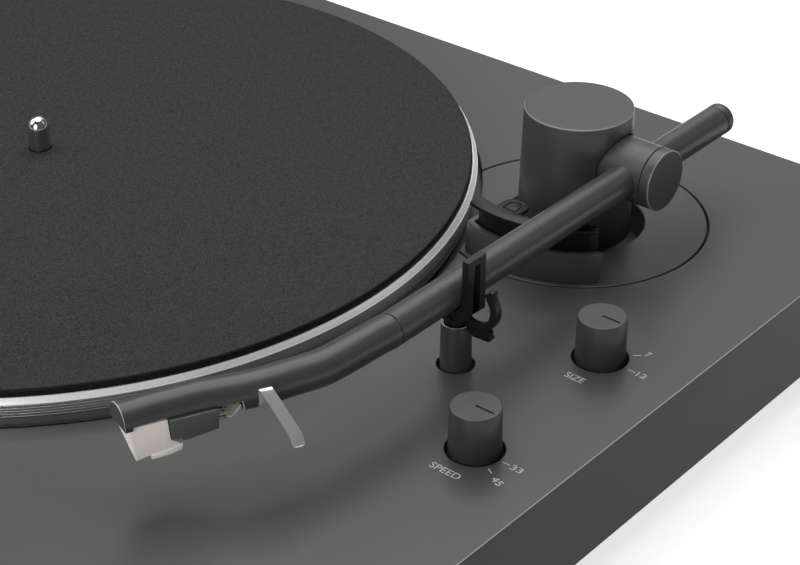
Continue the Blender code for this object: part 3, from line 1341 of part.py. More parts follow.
def make_main_board():
    bottom = cover_top + BOARD_STANDOFF + GAP
    top = bottom + BOARD_THICKNESS
    half_x, half_y = BOARD_WIDTH / 2, BOARD_DEPTH / 2
    board = block("main_board", (BOARD_X - half_x, BOARD_Y - half_y, bottom),
                  (BOARD_X + half_x, BOARD_Y + half_y, top))
    middle = top - BOARD_THICKNESS / 2
    for x_share, y_share in CAPACITOR_SHARES:
        place = (BOARD_X + half_x * x_share, BOARD_Y + half_y * y_share)
        unite(board, rod("capacitor", CAPACITOR_RADIUS, middle, top + CAPACITOR_HEIGHT, place,
                         steps=PIN_STEPS))
    for x_share in CHIP_SHARES:
        x = BOARD_X + half_x * x_share
        unite(board, block("chip", (x - CHIP_WIDTH / 2, BOARD_Y - CHIP_DEPTH / 2, middle),
                           (x + CHIP_WIDTH / 2, BOARD_Y + CHIP_DEPTH / 2, top + CHIP_HEIGHT)))
    finish(board, "circuit_board")


# Rear panel

def make_rear_panel(level_axis):
    flange_y = half_depth - SHELL_WALL - GAP
    back_y = rear_y - REAR_PLATE
    panel = block("rear_panel", (rear_left - REAR_LIP, back_y, rear_low - REAR_LIP),
                  (rear_right + REAR_LIP, flange_y, rear_high + REAR_LIP))
    cut(panel, block("recess", (rear_left, rear_y, rear_low), (rear_right, flange_y + OVERRUN, rear_high)))
    level_x = rear_x + LEVEL_OFFSET
    half = LEVEL_KNOB / 2
    cut(panel, block("level_slot", (level_x - half - GAP, back_y - OVERRUN, REAR_CENTRE_HEIGHT - half - GAP),
                     (level_x + half + LEVEL_TRAVEL + GAP, rear_y + OVERRUN, REAR_CENTRE_HEIGHT + half + GAP)))
    finish(panel, "black_plastic")

    foot = half + LEVEL_FOOT
    foot_back = back_y - GAP - LEVEL_FOOT
    slider = block("level_switch", (level_x - half, foot_back + GAP, REAR_CENTRE_HEIGHT - half),
                   (level_x + half, rear_y + LEVEL_KNOB_LENGTH, REAR_CENTRE_HEIGHT + half))
    unite(slider, block("foot", (level_x - foot, foot_back, REAR_CENTRE_HEIGHT - foot),
                        (level_x + foot, back_y - GAP, REAR_CENTRE_HEIGHT + foot)))
    finish(slider, "grey_plastic", level_axis)

    half_x, half_z = JACK_PITCH / 2 + JACK_RADIUS, JACK_RADIUS
    x = rear_x + JACK_OFFSET
    jacks = block("output_jacks", (x - half_x, rear_y + GAP, REAR_CENTRE_HEIGHT - half_z),
                  (x + half_x, rear_y + GAP + JACK_PLATE, REAR_CENTRE_HEIGHT + half_z))
    for side in (-1, 1):
        x = rear_x + JACK_OFFSET + side * JACK_PITCH / 2
        centre = (REAR_CENTRE_HEIGHT, x)
        unite(jacks, rod("jack", JACK_RADIUS, rear_y + JACK_PLATE / 2, rear_y + GAP + JACK_LENGTH,
                         centre, "Y", steps=SMALL_STEPS))
        cut(jacks, rod("bore", JACK_BORE, rear_y + GAP + JACK_PLATE, rear_y + JACK_LENGTH + OVERRUN,
                       centre, "Y", steps=PIN_STEPS))
    finish(jacks, "brass")

    x = rear_x + INLET_OFFSET
    wide, tall = INLET_WIDTH / 2, INLET_HEIGHT / 2
    inlet = block("power_inlet", (x - wide, rear_y + GAP, REAR_CENTRE_HEIGHT - tall),
                  (x + wide, rear_y + GAP + INLET_LENGTH, REAR_CENTRE_HEIGHT + tall))
    wide, tall = wide - INLET_WALL, tall - INLET_WALL
    cut(inlet, block("socket", (x - wide, rear_y + GAP + INLET_WALL, REAR_CENTRE_HEIGHT - tall),
                     (x + wide, rear_y + INLET_LENGTH + OVERRUN, REAR_CENTRE_HEIGHT + tall)))
    finish(inlet, "black_plastic")


# Build the whole turntable

for old in list(bpy.data.objects):
    bpy.data.objects.remove(old)

platter_axis = axis_mark("platter_axis", (SPINDLE_X, SPINDLE_Y, platter_face))
pulley_axis = axis_mark("pulley_axis", (motor.x, motor.y, motor_top))
cam_axis = axis_mark("cam_axis", (cam_centre.x, cam_centre.y, well_floor))
lever_axis = axis_mark("lever_axis", (lever_pivot.x, lever_pivot.y, lever_top))
sweep_axis = axis_mark("sweep_axis", (ARM_X, ARM_Y, plinth_top))
lift_axis = axis_mark("arm_lift_axis", (ARM_X, ARM_Y, arm_level), sweep_axis)
lifter_axis = axis_mark("lifter_axis", (ARM_X, ARM_Y, lifter_top))
latch_axis = axis_mark("latch_axis", (latch_hinge[0], REST_Y, latch_hinge[1]))
knob_axes = {kind: axis_mark(kind + "_axis", (*place, plinth_top)) for kind, place in knob_places.items()}
button_axes = {
    kind: axis_mark(kind + "_button_axis", (button_start_x + BUTTON_PITCH * index, -half_depth, BUTTON_CENTRE_HEIGHT))
    for index, kind in enumerate(button_names)
}
level_axis = axis_mark("level_axis", (rear_x + LEVEL_OFFSET, rear_y, REAR_CENTRE_HEIGHT))

make_plinth_shell()
make_base_cover()
make_base_screws()
make_feet()
make_platter(platter_axis)
make_slip_mat(platter_axis)
make_spindle(platter_axis)
make_hub_gear(platter_axis)
make_bearing()
make_cam_gear(cam_axis)
make_drive_lever(lever_axis)
make_motor()
make_pulley(pulley_axis)
make_belt()
make_arm_base()
make_arm_bearing()
make_turret(sweep_axis)
make_arm_shaft(sweep_axis)
make_barrel(sweep_axis, lift_axis)
make_arm_tube(lift_axis)
make_headshell(lift_axis)
make_lead_wires(make_cartridge(lift_axis), lift_axis)
make_stylus_holder(lift_axis)
make_finger_lift(lift_axis)
make_lifter_housing()
make_lifter(lifter_axis)
make_rest_post()
make_clip()
make_latch(latch_axis)
for knob_kind, knob_axis in knob_axes.items():
    make_knob(knob_kind, knob_axis)
make_buttons(button_axes)
make_main_board()
make_rear_panel(level_axis)
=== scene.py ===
import json
import math

import bpy
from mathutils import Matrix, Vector


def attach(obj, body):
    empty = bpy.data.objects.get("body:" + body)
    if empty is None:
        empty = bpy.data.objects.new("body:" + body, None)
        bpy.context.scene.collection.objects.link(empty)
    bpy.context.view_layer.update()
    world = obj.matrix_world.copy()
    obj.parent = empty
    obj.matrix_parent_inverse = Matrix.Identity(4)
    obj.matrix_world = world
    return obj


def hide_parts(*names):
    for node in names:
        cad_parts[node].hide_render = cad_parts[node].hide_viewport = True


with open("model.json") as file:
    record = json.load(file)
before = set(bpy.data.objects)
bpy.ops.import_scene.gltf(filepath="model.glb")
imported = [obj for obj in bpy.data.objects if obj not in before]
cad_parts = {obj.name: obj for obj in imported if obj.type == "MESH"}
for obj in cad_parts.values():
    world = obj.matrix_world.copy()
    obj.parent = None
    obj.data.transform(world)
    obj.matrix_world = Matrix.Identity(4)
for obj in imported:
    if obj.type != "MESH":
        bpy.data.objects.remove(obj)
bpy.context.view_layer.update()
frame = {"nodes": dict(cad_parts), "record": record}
print("frame loaded")

mm = 0.001
topZ = 45.3  # plinth top, millimetres
spindleXY = (-22.2, 11.5)
armXY = (133.3, 102.5)
armZ = 70.66
tubeX = 156.6
headEnd = Vector((131.0, -95.9, armZ))
headBack = Vector((0.440, 0.898, 0))
headSide = Vector((0.898, -0.440, 0))


# Helpers for modelling

def clearSelection():
    if bpy.context.object and bpy.context.object.mode != "OBJECT":
        bpy.ops.object.mode_set(mode="OBJECT")
    bpy.ops.object.select_all(action="DESELECT")


def pick(piece):
    clearSelection()
    piece.select_set(True)
    bpy.context.view_layer.objects.active = piece


def settle(name):  # puts the place of the active object into its mesh
    piece = bpy.context.object
    piece.name = name
    piece.data.name = name
    bpy.ops.object.transform_apply(location=True, rotation=True, scale=True)
    return piece


def faceOutwards(piece):
    pick(piece)
    bpy.ops.object.mode_set(mode="EDIT")
    bpy.ops.mesh.select_all(action="SELECT")
    bpy.ops.mesh.remove_doubles(threshold=0.000001)
    bpy.ops.mesh.normals_make_consistent(inside=False)
    bpy.ops.object.mode_set(mode="OBJECT")


def addBlock(name, low, high):
    low, high = Vector(low), Vector(high)
    clearSelection()
    bpy.ops.mesh.primitive_cube_add(size=1, location=(low + high) / 2 * mm, scale=(high - low) * mm)
    return settle(name)


def turnOnLathe(name, profile, centre, axis="Z", steps=128, hollow=False):
    # profile is (radius, place along the axis) in millimetres, from one end to the other
    along = Vector([float(axis == letter) for letter in "XYZ"])
    across = Vector((1, 1, 1)) - along
    turning = {"X": (0, math.pi / 2, 0), "Y": (-math.pi / 2, 0, 0), "Z": (0, 0, 0)}[axis]
    centre = Vector(centre)
    if not hollow:  # a narrow flat ring inside each end keeps the shading of the flat end even
        (first, low), (last, high) = profile[0], profile[-1]
        profile = [(first * 0.96, low)] + list(profile) + [(last * 0.96, high)]
    radius, height = profile[0]
    clearSelection()
    bpy.ops.mesh.primitive_circle_add(
        vertices=steps, radius=radius * mm, fill_type="NOTHING" if hollow else "NGON",
        location=(centre + along * height) * mm, rotation=turning)
    bpy.ops.object.mode_set(mode="EDIT")
    bpy.ops.mesh.select_mode(type="VERT")
    bpy.ops.mesh.select_all(action="SELECT")
    for nextRadius, nextHeight in profile[1:]:
        bpy.ops.mesh.extrude_region_move(
            TRANSFORM_OT_translate={"value": along * (nextHeight - height) * mm, "orient_type": "GLOBAL"})
        if abs(nextRadius - radius) > 0.0001:
            bpy.ops.transform.resize(value=along + across * (nextRadius / radius), orient_type="GLOBAL",
                                     center_override=(centre + along * nextHeight) * mm)
        radius, height = nextRadius, nextHeight
    bpy.ops.object.mode_set(mode="OBJECT")
    piece = settle(name)
    if hollow:
        selectRings(piece, steps)
        bpy.ops.mesh.bridge_edge_loops()
        bpy.ops.object.mode_set(mode="OBJECT")
    faceOutwards(piece)
    return piece


def selectRings(piece, steps):  # the first and the last ring of a hollow turned shape
    pick(piece)
    count = len(piece.data.vertices)
    for item in list(piece.data.polygons) + list(piece.data.edges):
        item.select = False
    for vert in piece.data.vertices:
        vert.select = vert.index < steps or vert.index >= count - steps
    bpy.ops.object.mode_set(mode="EDIT")
    bpy.ops.mesh.select_mode(type="VERT")


def loftRings(name, rings):
    # a round of points is extruded from ring to ring, and each new ring is drawn to its own places
    count = len(rings[0])
    clearSelection()
    bpy.ops.mesh.primitive_circle_add(vertices=count, radius=mm, fill_type="NGON")
    piece = bpy.context.object
    last = [Vector(point) * mm for point in rings[0]]
    for vert, point in zip(piece.data.vertices, last):
        vert.co = point
    lift = Vector((0, 0, 1))
    bpy.ops.object.mode_set(mode="EDIT")
    bpy.ops.mesh.select_all(action="SELECT")
    for ring in rings[1:]:
        bpy.ops.mesh.extrude_region_move(TRANSFORM_OT_translate={"value": lift, "orient_type": "GLOBAL"})
        bpy.ops.object.mode_set(mode="OBJECT")
        target = [Vector(point) * mm for point in ring]
        for vert in piece.data.vertices:
            if vert.select:
                nearest = min(range(count), key=lambda i: (vert.co - lift - last[i]).length)
                vert.co = target[nearest]
        last = target
        bpy.ops.object.mode_set(mode="EDIT")
    bpy.ops.object.mode_set(mode="OBJECT")
    settle(name)
    faceOutwards(piece)
    return piece


def pressOut(name, outline, low, high, axis="Z"):
    # the outline is drawn as seen along the axis, and carried from low to high on it
    rings = [[(u, v, level) if axis == "Z" else (u, level, v) for u, v in outline] for level in (low, high)]
    return loftRings(name, rings)


def pipeAlong(name, points, radius, sides=12, closedEnds=True):
    # a path with a round bevel, made a mesh; sides is Blender's bevel resolution
    clearSelection()
    bpy.ops.curve.primitive_nurbs_path_add()
    path = bpy.context.object
    path.data.splines.clear()
    spline = path.data.splines.new("POLY")
    spline.points.add(len(points) - 1)
    for knot, point in zip(spline.points, points):
        knot.co = (*(Vector(point) * mm), 1)
    path.data.bevel_depth = radius * mm
    path.data.bevel_resolution = sides
    path.data.use_fill_caps = closedEnds
    path.data.twist_mode = "Z_UP"
    bpy.ops.object.convert(target="MESH")
    piece = settle(name)
    faceOutwards(piece)
    return piece


def applyModifiers(piece):
    pick(piece)
    for modifier in list(piece.modifiers):
        bpy.ops.object.modifier_apply(modifier=modifier.name)


def combine(piece, tools, operation="DIFFERENCE"):
    for tool in tools:
        modifier = piece.modifiers.new("shape", "BOOLEAN")
        modifier.operation = operation
        modifier.solver = "EXACT"
        modifier.object = tool
        applyModifiers(piece)
        bpy.data.objects.remove(tool)
    return piece


def softenEdges(piece, width, steps=2, angle=30, paintHighlight=False, clamp=True):
    bevel = piece.modifiers.new("edges", "BEVEL")
    if paintHighlight:  # the new faces take the second finish that fitPiece is given, a lighter colour painted on as an edge highlight
        while len(piece.data.materials) < 2:
            piece.data.materials.append(None)
        bevel.material = 1
    bevel.width = width * mm
    bevel.segments = steps
    bevel.limit_method = "ANGLE"
    bevel.angle_limit = math.radians(angle)
    bevel.use_clamp_overlap = clamp
    applyModifiers(piece)


def smooth(piece, angle=35):
    pick(piece)
    bpy.ops.object.shade_smooth_by_angle(angle=math.radians(angle))


def joinPieces(name, pieces):
    clearSelection()
    for piece in pieces:
        piece.select_set(True)
    bpy.context.view_layer.objects.active = pieces[0]
    bpy.ops.object.join()
    return settle(name)


def copyPiece(piece, name, move):
    pick(piece)
    bpy.ops.object.duplicate(linked=False)
    bpy.context.object.location = Vector(move) * mm
    return settle(name)


def fitPiece(piece, body, nodes, finish, highlightFinish=None):
    edges = [face.index for face in piece.data.polygons if face.material_index == 1]
    piece.data.materials.clear()
    piece.data.materials.append(finish)
    # the bevel faces take this second finish, a painted edge highlight
    if highlightFinish:
        piece.data.materials.append(highlightFinish)
        for index in edges:
            piece.data.polygons[index].material_index = 1
    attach(piece, body)
    if nodes:
        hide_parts(*nodes)
    return piece


def coatFaces(piece, finish, chosen):  # a further finish on the faces for which chosen holds
    piece.data.materials.append(finish)
    for face in piece.data.polygons:
        if chosen(face):
            face.material_index = len(piece.data.materials) - 1


def highlightRim(piece, finish, level, axis="Z"):  # paints a highlight on the slanted faces of a turned end, past a level
    n = "XYZ".index(axis)
    coatFaces(piece, finish, lambda face: face.center[n] > level * mm and 0.2 < face.normal[n] < 0.95)


def reachFrom(place, face):  # how far a face lies from an upright axis, in metres
    return math.hypot(face.center.x - place[0] * mm, face.center.y - place[1] * mm)


def arcPoints(centre, radius, start, end, steps):
    return [(centre[0] + radius * math.cos(math.radians(start + (end - start) * n / steps)),
             centre[1] + radius * math.sin(math.radians(start + (end - start) * n / steps)))
            for n in range(steps + 1)]


def curveThrough(points, steps):
    points = [Vector(point) for point in points]
    padded = [points[0] * 2 - points[1]] + points + [points[-1] * 2 - points[-2]]
    curve = []
    for before, start, end, after in zip(padded, padded[1:], padded[2:], padded[3:]):
        bow = 2 * before - 5 * start + 4 * end - after
        swing = 3 * start - before - 3 * end + after
        for step in range(steps):
            t = step / steps
            curve.append(0.5 * (2 * start + (end - before) * t + bow * t ** 2 + swing * t ** 3))
    return curve + [points[-1]]


def onHead(back, side, rise):
    return headEnd + headBack * back + headSide * side + Vector((0, 0, rise))


# Finishes

plainLook = {  # what a finish has where its own look doesn't say otherwise
    "stretch": (1, 1, 1), "grainScale": 2600, "grainDetail": 2, "grainSpread": 0.06, "grainLow": 0.3,
    "grainHigh": 0.7, "cloudScale": 25, "cloudDetail": 4, "cloudSpread": 0.04, "cloudLow": 0.3,
    "cloudHigh": 0.7, "roughSpread": 0.03, "bump": 0.1, "bumpDepth": 0.05, "metal": 0, "shine": 0.5,
}


def setInputs(node, values):
    for name, value in values.items():
        node.inputs[name].default_value = value


def makeFinish(name, ownLook):
    look = {**plainLook, **ownLook}
    material = bpy.data.materials.new(name)
    material.use_nodes = True
    nodes, links = material.node_tree.nodes, material.node_tree.links
    shader = nodes["Principled BSDF"]
    place = nodes.new("ShaderNodeTexCoord")
    stretch = nodes.new("ShaderNodeMapping")
    setInputs(stretch, {"Scale": look["stretch"]})
    links.new(place.outputs["Object"], stretch.inputs["Vector"])
    grain = nodes.new("ShaderNodeTexNoise")
    setInputs(grain, {"Scale": look["grainScale"], "Detail": look["grainDetail"]})
    links.new(stretch.outputs["Vector"], grain.inputs["Vector"])
    cloud = nodes.new("ShaderNodeTexNoise")
    setInputs(cloud, {"Scale": look["cloudScale"], "Detail": look["cloudDetail"]})
    links.new(place.outputs["Object"], cloud.inputs["Vector"])

    def cloudRange(middle, spread):  # a value that drifts about its middle as the clouds do
        drift = nodes.new("ShaderNodeMapRange")
        setInputs(drift, {"From Min": look["cloudLow"], "From Max": look["cloudHigh"],
                          "To Min": middle - spread, "To Max": middle + spread})
        links.new(cloud.outputs["Fac"], drift.inputs["Value"])
        return drift.outputs["Result"]

    tone = nodes.new("ShaderNodeValToRGB")
    spread = look["grainSpread"]
    ends = ((look["grainLow"], 1 - spread), (look["grainHigh"], 1 + spread))
    for stop, (position, factor) in zip(tone.color_ramp.elements, ends):
        stop.position = position
        stop.color = (*[value * factor for value in look["colour"]], 1)
    links.new(grain.outputs["Fac"], tone.inputs["Fac"])
    mixer = nodes.new("ShaderNodeVectorMath")
    mixer.operation = "SCALE"
    links.new(tone.outputs["Color"], mixer.inputs[0])
    links.new(cloudRange(1, look["cloudSpread"]), mixer.inputs["Scale"])
    links.new(mixer.outputs["Vector"], shader.inputs["Base Color"])
    links.new(cloudRange(look["rough"], look["roughSpread"]), shader.inputs["Roughness"])
    bump = nodes.new("ShaderNodeBump")
    setInputs(bump, {"Strength": look["bump"], "Distance": look["bumpDepth"] * mm})
    links.new(grain.outputs["Fac"], bump.inputs["Height"])
    links.new(bump.outputs["Normal"], shader.inputs["Normal"])
    setInputs(shader, {"Metallic": look["metal"], "Specular IOR Level": look["shine"]})
    return material


finishLooks = {
    "satinCase": {"colour": (0.052, 0.0512, 0.0508), "rough": 0.34, "bump": 0.12, "shine": 0.3},
    # the next four colours are painted edge highlights, lighter than the surfaces they edge
    "plinthEdgeHighlight": {"colour": (0.34, 0.34, 0.335), "rough": 0.36, "bump": 0.06, "shine": 0.4},
    "caseEdgeHighlight": {"colour": (0.40, 0.40, 0.395), "rough": 0.36, "bump": 0.06, "shine": 0.4},
    "blackEdgeHighlight": {"colour": (0.045, 0.045, 0.045), "rough": 0.4, "grainScale": 1800, "bump": 0.06},
    "darkEdgeHighlight": {"colour": (0.17, 0.17, 0.17), "rough": 0.4, "bump": 0.06, "shine": 0.4},
    # a darker colour for the plinth's outer sides, painted shade
    "caseSideShade": {"colour": (0.020, 0.0197, 0.0197), "rough": 0.45, "bump": 0.14, "shine": 0.16},
    "satinKnob": {"colour": (0.041, 0.0405, 0.0405), "rough": 0.34, "bump": 0.08, "shine": 0.3},
    "armMetal": {"colour": (0.042, 0.042, 0.043), "rough": 0.34, "grainScale": 3000, "bump": 0.08,
                 "shine": 0.4},
    "blackPlastic": {"colour": (0.006, 0.006, 0.0065), "rough": 0.42, "grainScale": 1800, "bump": 0.12,
                     "shine": 0.3},
    "rubber": {"colour": (0.018, 0.018, 0.018), "rough": 0.8, "grainScale": 1500, "bump": 0.3,
               "cloudSpread": 0.12},
    "matFelt": {"colour": (0.0150, 0.0148, 0.0146), "rough": 0.75, "grainScale": 3400, "grainSpread": 0.9,
                "grainLow": 0.40, "grainHigh": 0.60, "grainDetail": 1, "bump": 0.6, "bumpDepth": 0.1,
                "shine": 0.25},
    "matEdge": {"colour": (0.006, 0.006, 0.006), "rough": 0.6, "grainSpread": 0.2, "bump": 0.2, "shine": 0.2},
    "turnedAluminium": {"colour": (0.80, 0.80, 0.81), "rough": 0.45, "metal": 1, "grainScale": 900,
                        "stretch": (0.01, 0.01, 3), "grainSpread": 0.2, "bump": 0.05},
    # the polished chamfer of the platter's rim; its light colour is partly its own polish and partly a
    # painted highlight
    "polishedRimHighlight": {"colour": (0.93, 0.93, 0.94), "rough": 0.4, "metal": 0.55, "grainScale": 900,
                  "stretch": (0.02, 0.02, 3), "grainSpread": 0.04, "bump": 0, "roughSpread": 0.01},
    "steel": {"colour": (0.45, 0.45, 0.47), "rough": 0.3, "metal": 1, "grainScale": 700,
              "stretch": (1, 1, 0.05), "grainSpread": 0.12},
    "blackenedSteel": {"colour": (0.03, 0.03, 0.03), "rough": 0.35, "metal": 1, "grainScale": 1200,
                       "bump": 0.05},
    "chrome": {"colour": (0.62, 0.62, 0.63), "rough": 0.11, "metal": 1, "grainScale": 1200,
               "grainSpread": 0.04, "bump": 0.02},
    "polishedStrip": {"colour": (0.82, 0.815, 0.81), "rough": 0.28, "metal": 0.85, "grainSpread": 0.02,
                      "bump": 0.01},
    "brass": {"colour": (0.62, 0.45, 0.2), "rough": 0.28, "metal": 1, "grainScale": 900, "grainSpread": 0.1},
    "whitePlastic": {"colour": (0.62, 0.61, 0.58), "rough": 0.5, "grainScale": 900, "bump": 0.08},
    "cartridgePlastic": {"colour": (0.095, 0.095, 0.097), "rough": 0.3, "grainScale": 2200},
    "guardPlastic": {"colour": (0.93, 0.865, 0.82), "rough": 0.42, "grainScale": 1400, "bump": 0.05,
                     "grainSpread": 0.03},
    "circuitBoard": {"colour": (0.02, 0.1, 0.04), "rough": 0.5, "grainScale": 300, "grainSpread": 0.3},
    "printedGrey": {"colour": (0.38, 0.38, 0.375), "rough": 0.6, "grainScale": 3000, "bump": 0.05},
    "wireGreen": {"colour": (0.36, 0.38, 0.2), "rough": 0.5, "grainScale": 900},
    "wireGrey": {"colour": (0.5, 0.5, 0.5), "rough": 0.5, "grainScale": 900},
    "insulatorRed": {"colour": (0.42, 0.03, 0.025), "rough": 0.4, "grainScale": 900},
}
finishes = {name: makeFinish(name, look) for name, look in finishLooks.items()}
slotFinish = {
    "case": "satinCase", "black_plastic": "blackPlastic", "rubber": "rubber", "aluminium": "turnedAluminium",
    "steel": "steel", "chrome": "chrome", "brass": "brass", "arm_metal": "armMetal",
    "white_plastic": "whitePlastic", "cartridge": "cartridgePlastic", "stylus_guard": "guardPlastic",
    "circuit_board": "circuitBoard",
}
for part in frame["record"]["subparts"]:
    node = frame["nodes"][part["node"]]
    for materialSlot in node.material_slots:
        materialSlot.material = finishes[slotFinish[part["material_slot"]]]
print("finishes made")


# Plinth

plinth = {
    "half": (215, 183), "bottom": 12, "wall": 3, "plate": 3, "corner": 1.5, "edge": 0.22, "lip": 0.18,
    "well": 148.9, "wellFloor": 40.8, "wellWall": 3, "wellLip": 0.12, "bushHole": 8.3,
    "motor": (127, 135), "motorHole": 12,  # distance and bearing in degrees from the spindle
    "armHole": 43.9, "armHoleDepth": 3.3, "knobHole": 8.46, "postHole": 5.65, "holeDepth": 6,
    "knobs": ((187.5, -18.7), (187.5, 40.5)), "post": (157.2, 10.8),
    "keys": (100, 134, 168), "keyHole": (11.4, 23.6, 32.4), "rearHole": (-170, -60, 17.6, 34.6),
}


def holeCutter(x, y, radius, low, steps=96, lip=plinth["lip"]):  # the lip breaks the edge of the hole
    profile = [(radius, low), (radius, topZ - lip), (radius + lip * 2, topZ + lip)]
    return turnOnLathe("cutter", profile, (x, y, 0), steps=steps)


def floorCutter(x, y, radius):  # goes right through the floor of the well
    return turnOnLathe("cutter", [(radius, 30), (radius, 50)], (x, y, 0), steps=48)


def bevelCase(case, width, steps, upright):  # the four corners, or else the edges round the top
    pick(case)
    bpy.context.tool_settings.mesh_select_mode = (False, True, False)
    for item in list(case.data.polygons) + list(case.data.vertices):
        item.select = False
    for edge in case.data.edges:
        ends = [case.data.vertices[index].co for index in edge.vertices]
        isUpright = abs(ends[0].z - ends[1].z) > 0.01
        isTop = min(end.z for end in ends) > (topZ - 0.01) * mm
        edge.select = isUpright if upright else isTop
    bpy.ops.object.mode_set(mode="EDIT")
    bpy.ops.mesh.bevel(offset=width * mm, segments=steps, affect="EDGES")
    bpy.ops.object.mode_set(mode="OBJECT")


def makePlinth():
    halfX, halfY = plinth["half"]
    case = addBlock("plinthCase", (-halfX, -halfY, plinth["bottom"]), (halfX, halfY, topZ))
    bevelCase(case, plinth["corner"], 6, True)
    bevelCase(case, plinth["edge"], 1, False)
    bpy.context.tool_settings.mesh_select_mode = (True, False, False)
    innerX, innerY = halfX - plinth["wall"], halfY - plinth["wall"]
    combine(case, [addBlock("cutter", (-innerX, -innerY, 0), (innerX, innerY, topZ - plinth["plate"]))])
    radius, foot = plinth["well"] + plinth["wellWall"], plinth["wellFloor"] - plinth["wellWall"]
    drum = turnOnLathe("drum", [(radius, foot), (radius, topZ - 1.5)], (*spindleXY, 0), steps=240)
    combine(case, [drum], "UNION")
    combine(case, [holeCutter(*spindleXY, plinth["well"], plinth["wellFloor"], 240, plinth["wellLip"])])
    combine(case, [holeCutter(*armXY, plinth["armHole"], topZ - plinth["armHoleDepth"], 180)])
    combine(case, [floorCutter(*spindleXY, plinth["bushHole"])])
    distance, bearing = plinth["motor"]
    motorX = spindleXY[0] + distance * math.cos(math.radians(bearing))
    motorY = spindleXY[1] + distance * math.sin(math.radians(bearing))
    combine(case, [floorCutter(motorX, motorY, plinth["motorHole"])])
    for place in plinth["knobs"]:
        combine(case, [holeCutter(*place, plinth["knobHole"], topZ - plinth["holeDepth"])])
    combine(case, [holeCutter(*plinth["post"], plinth["postHole"], topZ - plinth["holeDepth"])])
    half, low, high = plinth["keyHole"]
    for x in plinth["keys"]:
        combine(case, [addBlock("cutter", (x - half, -190, low), (x + half, -175, high))])
    left, right, low, high = plinth["rearHole"]
    combine(case, [addBlock("cutter", (left, 175, low), (right, 190, high))])
    smooth(case, 30)
    fitPiece(case, "root", ["plinth_shell"], finishes["satinCase"])

    def isOuter(face):
        return max(abs(face.center.x) - (halfX - 1) * mm, abs(face.center.y) - (halfY - 1) * mm) > 0

    # the outer sides are painted darker than the top, as shade
    coatFaces(case, finishes["caseSideShade"], lambda face: isOuter(face) and abs(face.normal.z) < 0.2)
    # the chamfer round the top is painted lighter, as a highlight
    coatFaces(case, finishes["plinthEdgeHighlight"], lambda face: isOuter(face) and 0.2 <= abs(face.normal.z) < 0.9)


makePlinth()
print("plinth made")


# Platter, mat and spindle

platterLook = {
    "under": ((3.9, 46.9), (20, 46.9), (20, 50), (102, 50), (102, 44.2), (105, 44.2), (105, 50), (141.15, 50),
              (141.15, 43.4)),
    "foot": 146.3, "footLevel": 43.4, "edge": 147.15, "side": (46.6, 51.6), "grooves": 5,
    "grooveDepth": 0.03,
    # inset from the edge, and level
    "rim": ((0, 51.7), (0.22, 51.95), (0.27, 51.92), (0.34, 52.05), (1.42, 53.2), (1.75, 53.2)),
    "top": ((145.2, 53.0), (3.9, 53.0)), "rimHighlightFrom": (145.3, 51.75),
    "mat": ((3.9, 53.3), (145.2, 53.3), (145.3, 53.5), (145.3, 54.9), (144.9, 55.5), (144.6, 55.7),
            (144.3, 55.7), (3.9, 55.7)),
    "matEdgeFrom": 144.75, "spindle": (3.575, 23.6), "spindleTip": (62.6, 4.5),
}


def makePlatter():
    centre = (*spindleXY, 0)
    edge, foot, depth = platterLook["edge"], platterLook["foot"], platterLook["grooveDepth"]
    low, high = platterLook["side"]
    count = platterLook["grooves"]
    side = [(foot + (edge - foot) * n / count, low + (high - low) * n / count) for n in range(count + 1)]
    profile = list(platterLook["under"])
    profile += [(foot - 0.5, platterLook["footLevel"]), (foot - 0.35, 46.3)]
    for (radius, level), (nextRadius, nextLevel) in zip(side, side[1:]):
        profile += [(radius, level), (nextRadius, nextLevel - 0.2)]
        profile += [(nextRadius - depth, nextLevel - 0.15), (nextRadius - depth, nextLevel - 0.05)]
    profile += [(edge - inset, level) for inset, level in platterLook["rim"]] + list(platterLook["top"])
    platter = turnOnLathe("platterCasting", profile, centre, steps=256, hollow=True)
    smooth(platter, 15)
    fitPiece(platter, "platter_assembly", ["platter"], finishes["turnedAluminium"])
    # the chamfer round the top of the platter takes a lighter colour, partly its own polish and partly a
    # painted highlight
    rim, level = platterLook["rimHighlightFrom"]
    coatFaces(platter, finishes["polishedRimHighlight"],
              lambda face: reachFrom(spindleXY, face) > rim * mm and face.center.z > level * mm)

    mat = turnOnLathe("slipMat", platterLook["mat"], centre, steps=256, hollow=True)
    smooth(mat, 40)
    fitPiece(mat, "platter_assembly", ["slip_mat"], finishes["matFelt"])
    coatFaces(mat, finishes["matEdge"],
              lambda face: reachFrom(spindleXY, face) > platterLook["matEdgeFrom"] * mm)

    radius, foot = platterLook["spindle"]
    shoulder, tip = platterLook["spindleTip"]
    profile = [(radius, foot), (radius, shoulder)]
    for degrees in range(8, 89, 8):
        angle = math.radians(degrees)
        profile.append((radius * math.cos(angle), shoulder + tip * math.sin(angle)))
    spindle = turnOnLathe("spindlePin", profile, centre, steps=64)
    smooth(spindle, 50)
    fitPiece(spindle, "platter_assembly", ["spindle"], finishes["chrome"])


makePlatter()
print("platter made")


# Arm base, turret and barrel

armLook = {
    "base": ((8, 23), (11, 23), (11, 31), (26, 31), (26, 39.6), (47, 39.6), (47, 42), (43.2, 42),
             (43.2, 45.12), (42.95, topZ), (23.3, topZ), (23, 45.0), (23, 34), (8, 34)),
    "wellSide": ((148.9, 30), (148.9, 45.18), (149.2, 47)), "wellWall": ((152.2, 30), (152.2, 42.6)),
    "turretFoot": ((4.3, 42.8), (18.4, 42.8), (18.6, 43.0)), "turretTop": 86.1,
    "turretRim": ((17.5, 0.34), (17.42, 0.12), (17.2, 0)),  # radius, below the top
    "turretInside": (16.4, 15.6, 45.8), "barrelHole": 10.45,
    "barrel": 9.9, "barrelRear": 125.1, "barrelFace": 167.0, "seam": 163.5,
}


